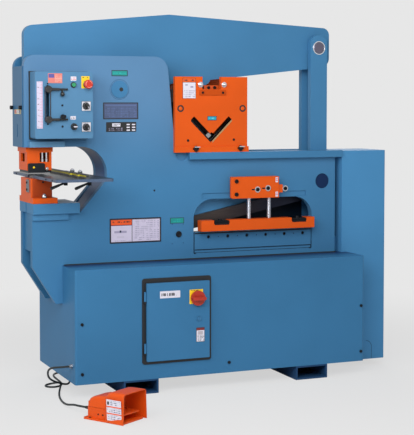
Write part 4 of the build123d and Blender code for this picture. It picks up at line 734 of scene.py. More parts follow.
def column_finish():
    """Column cover: a lighter copy of the blue enamel as painted light, with the dark joint line of its foot
    panel and the open hole beside it.
    """
    finish = Finish("column_enamel", blue, 0.42, Specular_IOR_Level=0.12, Coat_Weight=0.02)
    across, _, height = finish.place()
    tone = finish.noise(420, detail=3)
    speck = finish.noise(2.2, detail=2)
    # painted light: the column's blue is lifted to a lighter copy
    body = finish.mix(tone.ease(0.3, 0.7), shade(blue, 1.3), shade(blue, 1.42))
    bend_x, bend_z, bend = column.right - 105.0, column.bottom + 61.0, 32.0
    upright_line = (across - bend_x - bend).size() + (height > bend_z) * 50
    reach = ((across - bend_x) ** 2 + (height - bend_z) ** 2).root()
    arc_line = (reach - bend).size() + (height < bend_z) * 50 + (across < bend_x) * 50
    joint = finish.node("ShaderNodeMath", {"operation": "MINIMUM"}, {0: upright_line, 1: arc_line})
    body = finish.mix((joint < 1.6) * 0.75, body, shade(blue, 0.25))
    body = finish.mix((speck > 0.68) * 0.2, body, shade(blue, 0.72))
    finish.feed(Base_Color=body, Roughness=0.34 + tone * 0.08)
    groove = joint.ease(1.0, 2.4) * 3 + finish.noise(5.5, detail=1) * 0.3
    finish.relief(groove, depth=0.4, strength=0.5, edge=2.2)
    return finish


def nose_finish():
    """Nose cover: a darker copy of the blue enamel as painted shade on its left-facing sheet, with two black
    knobs.
    """
    finish = Finish("nose_enamel", blue, 0.42, Specular_IOR_Level=0.12, Coat_Weight=0.02)
    across, _, _ = finish.place()
    tone = finish.noise(300, detail=3)
    # painted shade: the blue is darkened to about two thirds on this left-facing sheet
    sheet = finish.mix(tone, shade(blue, 0.66), shade(blue, 0.76))
    knob = across < nose.right - 4.4
    finish.feed(Base_Color=finish.mix(knob, sheet, linear(20, 22, 24)), Roughness=0.36 + tone * 0.08)
    finish.relief(finish.noise(5.5, detail=1), depth=0.12, strength=0.35, edge=1.4)
    return finish


def gauge_finish():
    """Stroke gauge arms: gunmetal arm, black knob at its foot."""
    finish = Finish("gauge_metal", linear(34, 38, 40), 0.3, metallic=0.4)
    across, _, _ = finish.place()
    knob = across < control.left + 74.0
    cloud = finish.noise(12, detail=3)
    steel = finish.mix(cloud, linear(18, 22, 22), linear(46, 52, 54))
    finish.feed(
        Base_Color=finish.mix(knob, steel, linear(22, 24, 26)),
        Roughness=0.24 + cloud * 0.12 + knob * 0.2,
        Metallic=(1 - knob) * 0.4,
    )
    finish.relief(edge=0.6)
    return finish


def shade_painted_enamel(name, paint, shade_colour, where, grain=420, shades=(0.95, 1.05), gloss=0.40, veil=0.06,
            wet=0.0, peel=0.14, edge=1.6, shine=0.12, coat=0.02):
    """Enamel with one area of painted shade; where gives its mask from the finish and a place's x, y and z.
    """
    finish = Finish(name, paint, gloss, Specular_IOR_Level=shine, Coat_Weight=coat)
    tone = finish.noise(grain, detail=3)
    body = finish.mix(tone.ease(0.3, 0.7), shade(paint, shades[0]), shade(paint, shades[1]))
    mask = where(finish, *finish.place())
    # the mask lays the painted shade colour over the enamel
    finish.feed(Base_Color=finish.mix(mask, body, shade_colour), Roughness=gloss + tone * veil + mask * wet)
    finish.relief(finish.noise(5.5, detail=1), depth=peel, strength=0.35, edge=edge)
    return finish


def housing_shade(finish, across, depth, height):
    """Where painted shade lies in the angle housing's V and behind its left edge."""
    in_vee = across.within(-124, 92) * height.within(1124, 1262) * (depth > angle_face + 1.5)
    behind = (across < housing.left + 22) * depth.within(angle_face + 23.2, -12) * (height < 1322)
    return finish.node("ShaderNodeMath", {"operation": "MAXIMUM"}, {0: in_vee, 1: behind})


def shell_plate_shade(finish, across, depth, height):
    """Painted shade, in patches, on top of the base along the frame plate."""
    patches = 0.7 + finish.noise(70, detail=4) * 0.3
    return depth.ease(-262, head.front - 20) * (depth < 0) * (height > cover.top - 1) * patches


def window_shade(finish, across, depth, height):
    """Painted shade on the rear plate's face that closes the shear window."""
    return across.within(-130, 560) * height.within(600, 1040) * (depth < 71) * 0.94


def die_front_shade(finish, across, depth, height):
    """Painted shade on the die block's front under the table."""
    return (across > die_base.left + 3) * (depth < die_base.front + 27) * (height > die_base.top - 86) * 0.8


def slide_finish():
    """Angle shear slide: oily black steel, orange only on the face in the housing's notch."""
    finish = Finish("slide_steel", linear(24, 24, 28), 0.4)
    height = finish.place()[2]
    oil = finish.noise(20, detail=3)
    steel = finish.mix(oil, linear(14, 15, 18), linear(34, 34, 38))
    painted = height > housing.top - 58
    finish.feed(Base_Color=finish.mix(painted, steel, orange), Roughness=0.34 + oil * 0.12)
    finish.relief(oil, depth=0.1, strength=0.3, edge=0.8)
    return finish


# the head plate's enamel carries a painted sheen towards its upper part
wear(enamel("head_enamel", blue, painted_sheen=0.13), "front_frame_plate")
wear(blue_enamel, "frame_spacers", "module_rails", "lower_blade_bed", "main_pivot_pin")
wear(sheet_enamel, "front_cover", "enclosure_door", "oil_tank")
# painted shade in patches on top of the base along the frame plate, made glossier there
wear(shade_painted_enamel("shell_enamel", sheet_blue, linear(24, 36, 84), shell_plate_shade, wet=-0.08), "base_shell")
# painted shade: the rear plate goes nearly black inside the shear window
wear(shade_painted_enamel("rear_plate_enamel", sheet_blue, linear(8, 10, 16), window_shade), "rear_frame_plate")
# painted shade on the die block's front under the table
wear(shade_painted_enamel("die_block_enamel", orange, linear(142, 52, 18), die_front_shade, grain=40, shades=(0.94, 1.06),
             gloss=0.34, veil=0.08, peel=0.1, edge=1.0, shine=0.16, coat=0.04), "die_block")
wear(enamel("panel_enamel", linear(84, 130, 166), gloss=0.42), "control_box")
wear(beam_enamel, "beam", "shear_links", "bolster")
wear(foot_painted_light_enamel, "cylinder_barrel")
wear(tube_painted_shade_enamel, "fork_tubes")
wear(liner_enamel, "throat_liner")
wear(column_finish(), "column_cover")
wear(nose_finish(), "nose_cover")
wear(orange_enamel, "hold_down_bar", "hold_down_bracket", "punch_housing")
# painted shade in the V and behind the housing's left edge, made rougher there
wear(shade_painted_enamel("housing_enamel", orange, linear(12, 13, 16), housing_shade, grain=300, shades=(0.94, 1.05),
             gloss=0.32, veil=0.08, wet=0.2, peel=0.1, edge=1.2, shine=0.16, coat=0.04),
     "angle_shear_housing")
wear(slide_finish(), "angle_shear_slide")
wear(cast_orange, "pedal_base", "pedal_treadle", "pedal_guard")
wear(enclosure_finish(), "enclosure_box")
wear(table_finish(), "gauging_table")
wear(fence_finish(), "table_fence")
wear(grey_enamel, "pump_motor")
wear(arm_finish(), "shear_arm")
wear(blade_finish(), "upper_shear_blade")
wear(black_oxide, "lower_shear_blade")
wear(ground_steel, "fixed_angle_blades", "die")
wear(turned_steel, "punch_ram", "punch", "punch_nut", "cord_gland")
wear(chrome, "hold_down_studs")
wear(pin_steel, "arm_pivot_pin", "upper_link_pin", "lower_link_pin")
wear(black_oxide, "cap_screws")
wear(blue_enamel, "door_latch")
wear(black_paint, "stripper", "table_lever_left", "table_lever_right")
wear(gauge_finish(), "upper_stroke_arm", "lower_stroke_arm")
wear(black_plastic, "upper_mode_knob", "lower_mode_knob", "selector_knob")
wear(green_plastic, "start_button")
wear(red_plastic, "estop_button")
wear(handle_red, "isolator_handle")
wear(rubber, "cord_strain_relief", "foot_switch_cord")
cord_run.data.materials.append(cord_jacket().material)

# Colours of the print
white_print = linear(222, 220, 232)
lavender_print = linear(208, 200, 222)
navy_print = linear(18, 30, 60)
grey_print = linear(160, 154, 182)
black_print = linear(20, 22, 28)
teal_print = linear(0, 142, 138)
pink_print = linear(204, 106, 146)
orange_print = linear(236, 84, 20)
yellow_print = linear(250, 208, 20)
red_print = linear(206, 52, 44)
slate_print = linear(68, 84, 120)


def ruler_finish():
    """White stroke scale with thin divisions and a taller one at every tenth."""
    finish = Finish("ruler_print", lavender_print, 0.4)
    across, _, height = finish.place()
    fine = (height / 2.5).part() < 0.3
    fifth = (height / 12.5).part() < 0.09
    tenth = (height / 25).part() < 0.06
    ticks = fine * (across > 7) + fifth * (across > 2) + tenth * (across > -2)
    figures = (finish.noise(3.2, detail=1) > 0.52) * across.within(-10, -3) * ((height / 25).part() < 0.22)
    body = finish.mix((ticks > 0.5) * 0.75, lavender_print, pink_print)
    body = finish.mix(figures * 0.8, body, black_print)
    finish.feed(Base_Color=body, Roughness=0.36 + finish.noise(20) * 0.1)
    finish.relief(edge=0.3)
    return finish


def control_panel():
    """Scales, bezels, switch plates and screws on the control box."""
    face = control.front
    plate("stroke_scale", ruler_finish(), (control.left + 21, face, control.z + 0.5), (27, 208), radius=1.0)
    strips = Shape()
    for edge in (slot_x - 12, slot_x + 12):
        strips.block(edge - 2.6, edge + 2.6, face - 3.0, face, control.bottom + 76, control.top - 66, 0.8)
    strips.piece("slot_guides", gunmetal, "machine", "bright_steel")
    screws = Shape()
    for z in (1305, 1211):
        socket_head(screws, (control.x - 9, face, z), FRONT, 4.6, 2.4)
    for z in (1221, 1401):
        socket_head(screws, (slot_x, face, z), FRONT, 3.6, 0.6)
    screws.piece("panel_screws", black_oxide, "machine", "black_steel")
    peach = linear(232, 176, 160)
    label("panel_sticker", linear(218, 122, 112), (control.left + 91.5, face, control.top - 30), (65, 43),
          fields=((-30, -4, 2, 19, linear(84, 78, 150)), (-2, 30, -4, -1, peach)),
          rows=((0, 30, -18, 16, 6.0, peach),))
    label("stop_plate", yellow_print, (stop_knob.x - 7, face, stop_knob.z + 9), (38, 54),
          rows=((-17, 17, 18, 26, 7.0, black_print),))
    label("start_label", white_print, (start_knob.x + 1, face, start_knob.z + 28), (26, 19),
          rows=((-11, 11, -7, 7, 6.5, red_print),))
    label("selector_label", white_print, (selector.x - 3.5, face, selector.z + 39.5), (25, 15),
          rows=((-11, 11, -6, 6, 5.5, black_print),))
    for name, knob, lift in (("upper_mode_plate", upper_mode, -0.5), ("lower_mode_plate", lower_mode, 0.5)):
        label(name, linear(222, 222, 232), (knob.x + 1.5, face, knob.z + lift), (43, 43),
              rows=((-18, 18, 12, 19, 4.5, black_print), (-18, -14, -18, 12, 5.0, black_print)),
              border=(20.2, 20.2, black_print))
    bezels = Shape()
    for knob, inner, outer, proud in (
        (start_knob, 9.6, 13.0, 4.2), (upper_mode, 13.4, 16.5, 2.2),
        (lower_mode, 13.4, 16.5, 2.2), (selector, 12.4, 15.5, 2.2),
    ):
        bezels.ring((knob.x, face, knob.z), FRONT, inner, outer, proud)
    bezels.soften(0.5, segments=1)
    bezels.piece("switch_bezels", black_plastic, "machine", "black_plastic")
    collar = Shape().turned((stop_knob.x, face, stop_knob.z), FRONT, [
        (0, 0), (0, 17.5), (1.5, 17.5), (3, 15), (11.5, 14), (12.5, 13), (12.5, 0),
    ], sides=48)
    collar.piece("stop_collar", black_plastic, "machine", "black_plastic")
    seal, lap = Shape(), 0.5
    inner_left, inner_right = control.left + lap, control.right - lap
    for left, right, low, high in (
        (control.left - 4, inner_left, control.bottom - 4, control.top + 3),
        (inner_right, control.right + 1.6, control.bottom - 4, control.top + 3),
        (inner_left, inner_right, control.bottom - 4, control.bottom + lap),
        (inner_left, inner_right, control.top - lap, control.top + 3),
    ):
        seal.block(left, right, head.front - 9, head.front, low, high)
    seal.piece("control_box_seal", rubber, "machine", "black_rubber")


def moving_controls():
    """Fluted knobs, pointers and the stop button's arrow ring, which move with their bodies."""
    upper_arm, lower_arm = Span("upper_stroke_arm"), Span("lower_stroke_arm")
    base = control.front - 2.2
    for name, z in (
        ("upper_stop", upper_arm.top - gauge_foot), ("lower_stop", lower_arm.bottom + gauge_foot),
    ):
        knob = Shape().turned((slot_x, base, z), FRONT, [
            (0, 0), (0, 13.4), (2, 15.8), (17, 15.8), (20, 14.6), (22.4, 11.5), (22.4, 6.0), (21.4, 5.6),
            (21.4, 0),
        ], sides=96, wave=0.035, lobes=16)
        knob.piece(f"{name}_knob", black_plastic, name, "black_plastic")
        sleeve = Shape().block(slot_x + 9, slot_x + 53, base - 10.5, base - 0.2, z - 5.6, z + 5.6, 1.6)
        sleeve.piece(f"{name}_sleeve", rubber, name, "black_rubber")
    ball_radius, ball_steps = 10.3, 14
    turns = [pi * step / ball_steps for step in range(ball_steps + 1)]
    ball = Shape().turned((-766, control.front - 12, 1354), FRONT,
                          [(-ball_radius * cos(turn), ball_radius * sin(turn)) for turn in turns], sides=32)
    ball.piece("gauge_ball", black_plastic, "upper_stop", "black_plastic")
    wing_x, wing_z = -764, 1253
    wing = Shape().turned((wing_x, control.front - 9.9, wing_z), FRONT, [
        (0, 0), (0, 12.5), (5, 12), (9.5, 9), (9.5, 4), (12, 3.6), (12, 0)], sides=24)
    for ear in (wing_x - 9, wing_x + 9):
        wing.block(ear - 4.5, ear + 4.5, control.front - 17, control.front - 13.5,
                   wing_z - 2, wing_z + 9, 1.4)
    wing.piece("wing_nut", black_oxide, "lower_stop", "bright_steel")
    for body, knob, tilt, inner, outer, half in (
        ("upper_mode", upper_mode, 60, 3, 14, 0.9), ("lower_mode", lower_mode, 60, 3, 14, 0.9),
        ("selector", selector, 0, -9, 9, 2.2),
    ):
        mark = Shape().block(inner, outer, -0.5, 0.4, -half, half, 0.2)
        mark.piece(f"{body}_pointer", switch_white, body, "black_plastic",
                   origin=(knob.x, knob.front, knob.z), turn=Matrix.Rotation(radians(tilt), 4, "Y"))
    arrows, arrow_count, sweep = Shape(), 3, 70
    for step in range(arrow_count):
        start = 360 / arrow_count * step
        end, tip = radians(start + sweep + 2), radians(start + sweep + 18)
        outline = arc(0, 0, 13.2, start, start + sweep, 8) + [(15.4 * cos(tip), 15.4 * sin(tip))]
        outline += [(17.2 * cos(end), 17.2 * sin(end))] + arc(0, 0, 15.6, start + sweep, start, 8)
        arrows.prism(outline, (stop_knob.x, stop_knob.front + 0.2, stop_knob.z), 0.7)
    arrow_print = moulded("arrow_print", linear(232, 150, 132), coat=0.1)
    arrows.piece("stop_arrows", arrow_print, "estop", "red_plastic")


def frame_labels():
    """Generic labels, plugs, a black button of painted shade in a small hole and the joint seal on the frame
    plate, and the sticker on the nose.
    """
    face = head.front
    label("head_label", teal_print, (-464, face, 1452.5), (78, 27),
          rows=((-32, 32, -5, 5, 10.0, shade(teal_print, 1.7)),), border=(36, 10.5, black_print))
    label("data_plate", slate_print, (-459, face, 1279.5), (170, 77),
          fields=((-74, 76, 22, 29, shade(slate_print, 1.5)),),
          rows=((-76, 76, -30, 18, 7.5, shade(slate_print, 1.7)),), border=(80, 34, black_print))
    boxes = [(26 + 26 * step, 42 + 26 * step, -18 + 13 * row, -12 + 13 * row, white_print)
             for step in range(2) for row in range(3)]
    label("tonnage_table", linear(6, 8, 14), (-457, face, 1205.5), (146, 45),
          fields=[(-44, -4, 2, 17, white_print)] + boxes,
          rows=((-42, -6, 3, 16, 6.0, black_print), (-60, 6, -18, -2, 8.0, grey_print)))
    label("caution_plate", lavender_print, (-388.5, face, 725), (253, 116), radius=4,
          fields=((-122, -18, 26, 54, orange_print), (-122, -18, 24, 27, navy_print),
                  (-19, -16, -58, 58, navy_print), (-104, -44, -10, 0, grey_print),
                  (-92, -56, -34, -24, shade(lavender_print, 0.9)), (-78, -70, -8, 2, navy_print)),
          rows=((-112, -26, 34, 48, 14.0, black_print), (-8, 116, -48, 50, 8.6, grey_print),
                (-118, -24, -50, -42, 8.0, grey_print)),
          border=(119.5, 51, linear(8, 14, 34)))
    label("pivot_label", teal_print, (-182, face, 763.5), (70, 27),
          rows=((-20, 20, -7, 7, 7.0, shade(teal_print, 1.6)),), border=(32.5, 11.5, black_print))
    dots = Shape()
    for x, z in ((-206, 746), (-150, 746), (-206, 655), (-150, 657)):
        dots.button((x, face, z), FRONT, 3.4, 0.4, 3.0)
    dots.piece("port_dots", enamel("filled_hole_enamel", shade(blue, 0.7)), "machine", "blue_paint")
    # a black button as painted shade of a small hole in the plate
    hole = Shape().button((-295, face, 908), FRONT, 4.6, 0.5, 4.2, sides=24)
    hole.piece("plate_hole_shade", black_oxide, "machine", "black_steel")
    joint = Shape().block(-733, head.right, face - 9, face, cover.top, cover.top + 4.5)
    joint.piece("base_joint_seal", rubber, "machine", "black_rubber")
    cap = Shape().turned((-174, face - 3.0, 699), FRONT, [
        (0, 0), (0, 15), (2.2, 14), (3.0, 9), (1.6, 7), (1.6, 0)], sides=40)
    cap.piece("grease_cap", black_oxide, "machine", "black_steel")
    label("nose_sticker", linear(214, 190, 90), (nose.right - 4.0, -6, 1276), (112, 20), radius=2,
          turn=Matrix.Rotation(radians(-90), 4, "Z"),
          fields=((-52, -20, -8, 8, linear(190, 80, 80)), (-16, 24, -8, 8, white_print),
                  (28, 52, -8, 8, slate_print)),
          rows=((-15, 23, -7, 7, 5.0, black_print),))


def enclosure_labels():
    """Plates on the door, its handle's pointer and the latch ring."""
    face = door_face
    latch = Span("door_latch")
    label("door_label", white_print, (-299, face, 450), (98, 32), "door",
          rows=((-42, 42, -13, 13, 26.0, black_print),))
    label("isolator_plate", yellow_print, (isolator.x - 5.5, face, isolator.z + 6), (66, 66), "door",
          rows=((-26, 26, -32, -26, 6.0, black_print), (-26, 26, 26, 32, 6.0, black_print)))
    label("door_sticker", white_print, (-151, face, 256.5), (41, 66), "door",
          fields=((-19, 19, 20, 32, linear(120, 24, 30)), (-12, 12, 0, 16, linear(186, 178, 186))),
          rows=((-17, 17, -30, -3, 6.0, black_print),), border=(19.0, 31.4, black_print))
    pointer = Shape()
    pointer.prism([(28, 15), (38, 0), (28, -15)], (isolator.x, face - 3.4, isolator.z), 11.2)
    pointer.soften(1.2)
    pointer.piece("isolator_pointer", handle_red, "isolator", "red_plastic")
    ring = Shape().ring((latch.left + 9, face, latch.z), FRONT, 9.6, 12.5, 1.6)
    ring.soften(0.4, segments=1)
    ring.piece("latch_ring", blue_enamel, "door", "blue_paint")


def angle_station():
    """Labels, bolts, hold-down strip, blade edges and thumb screws of the angle shear."""
    face = angle_face
    vee_x, vee_z, vee_reach = Span("fixed_angle_blades").x, 1134.0, 104.0
    boss_spots = (housing.left + 32, housing.right - 30)
    thumb_spots = (-100, 129)
    label("angle_label", white_print, (-129, face, 1385), (66, 96),
          fields=((-33, 33, 28, 48, orange), (-33, 33, 26.5, 28, black_print), (6, 20, 2, 10, grey_print),
                  (-20, -8, 12, 18, grey_print)),
          rows=((-29, 29, -44, -8, 9.0, grey_print), (-24, 24, 31, 43, 12.0, black_print)),
          border=(31.5, 47, black_print))
    label("angle_size_label", linear(0, 150, 176), (-13.5, face, 1244), (47, 20),
          rows=((-18, 18, -6, 6, 12.0, linear(110, 200, 220)),), border=(21.5, 8, black_print))
    bosses, rings = Shape(), Shape()
    for x in boss_spots:
        bosses.turned((x, face, 1290), FRONT, [
            (0, 0), (0, 9.4), (2.6, 9.4), (4.2, 7.6), (4.8, 5), (5, 0)], sides=40)
        rings.ring((x, face, 1290), FRONT, 9.8, 16.2, 1.8)
    bosses.piece("guide_bosses", orange_enamel, "machine", "orange_paint")
    rings.soften(0.4, segments=1)
    rings.piece("boss_rings", rubber, "machine", "black_steel")
    bolts = Shape()
    for x in (-72, 48):
        bolts.ring((x, face, 1402), FRONT, 6, 13, 2.4)
        hex_nut(bolts, (x, face - 2.4, 1402), FRONT, 18, 9, 5)
    for x in thumb_spots:
        bolts.block(x - 9, x + 19, housing.front - 14.4, housing.front - 11.6, 1107, 1111.4)
    bolts.soften(0.3, segments=1, angle=50)
    bolts.piece("angle_bolts", chrome, "machine", "bright_steel")
    retainer = Shape().block(-79, 58, face - 4.0, face, 1352, 1377, 1.2)
    # a darker copy of the orange: painted shade on the retainer bar
    retainer_shade_enamel = enamel("retainer_shade_enamel", shade(orange, 0.72), gloss=0.34)
    retainer.piece("slide_retainer", retainer_shade_enamel, "machine", "orange_paint")
    screws = Shape()
    for x in (-62, 41):
        socket_head(screws, (x, face - 4.0, 1364.5), FRONT, 5.5, 3.5)
    for x in (-46, -14, 17):
        socket_head(screws, (x, Span("angle_shear_slide").front, 1389), FRONT, 7.4, 7.0)
    for x, z in ((-135, 1140), (99, 1142)):
        screws.button((x, face, z), FRONT, 6.4, 0.8, 6.0, sides=28)
    for x in thumb_spots:
        screws.turned((x, housing.front, 1101), FRONT, [(0, 0), (0, 12), (12, 12), (12, 0)],
                      sides=60, wave=0.16, lobes=4)
    screws.piece("angle_screws", black_oxide, "machine", "black_steel")
    # the right edge's brass-like tone is a painted highlight; the left edge is black steel
    for name, side, finish in (("right_vee_edge", 1, edge_highlight_metal), ("left_vee_edge", -1, black_oxide)):
        outline = [(4 * side, 4), (vee_reach * side, vee_reach),
                   (vee_reach * side, vee_reach - 9), (4 * side, -5)]
        edge = Shape().prism(outline, (vee_x, face, vee_z), 1.0)
        edge.piece(name, finish, "machine", "ground_steel")
    gib_outline = [(-14, 14), (1.5, 29.5), (-12.5, 43.5), (-28, 28)]
    gib = Shape().prism(gib_outline, (vee_x, face + 12, vee_z), 4)
    gib.piece("vee_gib", turned_steel, "machine", "ground_steel")


def flat_bar_station():
    """Bolts, washers, threads and pads of the hold-down, and the bolts of the lower blade bed."""
    bolt_pitch, bolt_z = 100, bed.top - 23
    sockets = Shape()
    for z in (bracket.bottom + 20, bracket.top - 20):
        socket_head(sockets, (bracket.left + 27, bracket.front, z), FRONT, 9.5, 7.5)
    for step in range(6):
        bolt_x = bed.left + 72 + bolt_pitch * step
        sockets.ring((bolt_x, bed.front + 13.5, bolt_z), FRONT, 5.0, 7.9, 0.5)
        socket_head(sockets, (bolt_x, bed.front + 14, bolt_z), FRONT, 7.2, 11)
    for step in range(5):
        dot_x = bed.left + 122 + bolt_pitch * step
        sockets.button((dot_x, bed.front, bolt_z), FRONT, 2.6, 0.4, 2.2, sides=16)
    for proud, low, high in ((0.8, 695, 701), (0.4, 619, 622)):
        sockets.block(bed.left + 1, bed.right - 1, bed.front - proud, bed.front, low, high)
    # dark strips in the gaps round the blade bed: painted shade
    for left, right, low, high in (
        (-98, bed.left, 606, 702), (bed.right, 528, 606, 640), (-98, 528, 604, 607),
    ):
        sockets.block(left + 0.2, right - 0.2, bed.front + 2, bed.front + 6, low, high)
    sockets.piece("socket_bolts", black_oxide, "machine", "black_steel")
    bolts, heads = Shape(), Shape()
    for along, rise, face in ((137, 41, bracket.front), (192, 46, bracket.front), (308, 39, head.front)):
        x, z = bracket.left + along, bracket.bottom + rise
        bolts.ring((x, face, z), FRONT, 9.4, 14.5, 3.4)
        socket_head(heads, (x, face, z), FRONT, 9.2, 7.5)
        # a black bar left of each bracket bolt: painted shade in its adjusting slot
        if face == bracket.front:
            heads.block(x - 30, x - 15, face - 0.8, face, z - 3, z + 3)
    bolts.piece("bracket_bolts", chrome, "machine", "bright_steel")
    heads.piece("bracket_heads", black_oxide, "machine", "black_steel")
    # white strips with pink bands: painted highlights on the bracket's vertical step
    for name, z in (("upper_bracket_highlight", bracket.top - 17), ("lower_bracket_highlight", bracket.bottom + 16)):
        label(name, white_print, (313, bracket.front, z), (13, 24),
              fields=((-5.5, 5.5, -5, -1, pink_print), (-5.5, 5.5, 3, 7, pink_print)))
    pads = Shape()
    for x in (clamp_bar.left + 104, clamp_bar.right - 83):
        for half, back, drop, rise, round_off in (
            (38, clamp_bar.back - 3, 17, 2, 3), (37, clamp_bar.front, 22, 5, 0.7),
        ):
            pads.block(x - half, x + half, clamp_bar.front - 1.6, back, clamp_bar.top - drop,
                       clamp_bar.top - rise, round_off)
        pads.turned((x, studs.y, clamp_bar.top - 3), UP, [
            (0, 0), (0, 9), (8, 9), (8, 5), (5, 4.6), (5, 0)], sides=28)
    pads.piece("clamp_pads", black_oxide, "hold_down", "black_steel")
    threads, stud_radius = Shape(), 11.0
    for x in (studs.left + stud_radius, studs.right - stud_radius):
        threaded(threads, (x, studs.y, clamp_bar.top), UP, stud_radius, studs.top - clamp_bar.top, 4.0)
    threads.piece("stud_threads", chrome, "hold_down", "bright_steel", replaces=("hold_down_studs",))


def link_ends():
    """Snap rings round the upper link pin, a dark disc of painted shade in the access hole, the hub pin's
    trim and a black cap of painted shade in its hole.
    """
    rings = Shape()
    for y, way in ((link_pair.front, FRONT), (link_pair.back, BACK)):
        rings.ring((high_pin.x, y, high_pin.z), way, 28.6, 33.5, 2.2)
    rings.soften(0.5, segments=1)
    rings.piece("upper_pin_rings", chrome, "links", "bright_steel")
    # a dark navy disc in the access hole: painted shade of the hole
    hole_shade_disc = Shape().turned((low_pin.x, head.front + 8, low_pin.z), FRONT, [
        (0, 0), (0, 36.8), (3, 36.8), (3, 0)], sides=48)
    hole_shade_enamel = enamel("hole_shade_enamel", linear(20, 44, 82), gloss=0.5)
    hole_shade_disc.piece("access_hole_shade", hole_shade_enamel, "machine", "dark_blue_paint")
    joint = Shape().ring((hub_pin.x, head.front, hub_pin.z), FRONT, 44.8, 46.4, 0.5, sides=56)
    joint.piece("hub_ring", enamel("hub_ring_enamel", shade(blue, 0.75)), "machine", "dark_blue_paint")
    # a black cap in the hub pin's hole: painted shade of the hole
    tap = Shape().turned((hub_pin.x + 8, hub_pin.front + 9, hub_pin.z), FRONT, [
        (0, 0), (0, 6.9), (8.8, 6.9), (9.4, 9.4), (9.8, 9.0), (9.8, 0)], sides=24)
    tap.piece("hub_hole_shade", rubber, "machine", "black_steel")


def punch_station():
    """Guard rods, nut, stripper dot, die bolts and set screw of the punching station."""
    rods = Shape()
    for x in (-825, -806):
        rods.turned((x, guard.front + 5, 1050), UP, [
            (0, 0), (0, 5.0), (14, 5.0), (15, 3.8), (44, 3.8), (44, 0)], sides=24)
    hex_nut(rods, (-806, guard.front, 1019), FRONT, 15, 8, 4)
    rods.piece("guard_rods", chrome, "machine", "bright_steel")
    dot = Shape().turned((-868, strip.front, 1026), FRONT, [(0, 0), (0, 5), (1.4, 4.2), (1.8, 0)], sides=28)
    dot.piece("stripper_dot", yellow_plate, "machine", "black_steel")
    bolts, discs = Shape(), Shape()
    ledge = die_base.top - 87.0
    washer_height = 2.5
    discs.ring((-826, die_base.front + 12, ledge), UP, 6, 13, washer_height)
    hex_nut(bolts, (-826, die_base.front + 12, ledge + washer_height), UP, 19, 13, 6)
    bolts.soften(0.3, segments=1, angle=50)
    bolts.piece("die_bolt", chrome, "machine", "bright_steel")
    discs.piece("die_washer", black_oxide, "machine", "black_steel")
    side = Shape()
    side.block(die_base.left - 6, die_base.left, -64, -24, ledge + 24, ledge + 82, 1.5)
    side.piece("die_side_bracket", grey_enamel, "machine", "grey_paint")
    screw = Shape()
    socket_head(screw, (-827, die_base.front + 31, 959), FRONT, 4.8, 5)
    for z in (ledge + 36, ledge + 68):
        socket_head(screw, (die_base.left - 6, -44, z), LEFT, 5, 4)
    screw.piece("die_screws", black_oxide, "machine", "black_steel")


def table_details():
    """Lever grips, clamp screws and the stop at the table's edge."""
    for body, hub_y, turn in (("lever_left", -205.0, 180), ("lever_right", -250.0, 187)):
        start = Vector((Span(f"table_{body}").right - 9.0, hub_y, table.bottom - 13.3))
        way = Vector((74 * cos(radians(turn)), 74 * sin(radians(turn)), -28)).normalized()
        grip = Shape().turned(start, way, [
            (30, 0), (30, 5.3), (32, 5.8), (58, 6.8), (70, 7.0), (74, 5.6), (76, 3.0), (76.6, 0)], sides=28)
        grip.piece(f"{body}_grip", black_plastic, body, "black_steel")
    screws = Shape()
    for y in (-200, -320):
        screws.turned((fence.x, y, table.top + 28), UP, [(0, 0), (0, 8.5), (3, 8.5), (4, 7), (4, 0)],
                      sides=40, wave=0.05, lobes=10)
        socket_head(screws, (fence.x, y, table.top + 32), UP, 5, 4)
    screws.piece("fence_screws", chrome, "fence", "bright_steel")
    end = Shape()
    socket_head(end, (table.right, table.front + 30, table.z), RIGHT, 5, 3)
    end.piece("table_end_screw", chrome, "machine", "bright_steel")
    edge = Shape()
    for y in (table.front + 60, table.front + 160, table.back - 60):
        socket_head(edge, (table.left, y, table.z), LEFT, 4, 2)
    edge.piece("table_edge_screws", black_oxide, "machine", "black_steel")


def pedal_matrix():
    """The foot switch's own frame: forward, across and up from its place on the floor."""
    turn = Matrix.Rotation(radians(pedal_turn), 4, "Z")
    return Matrix.Translation(pedal_place) @ turn


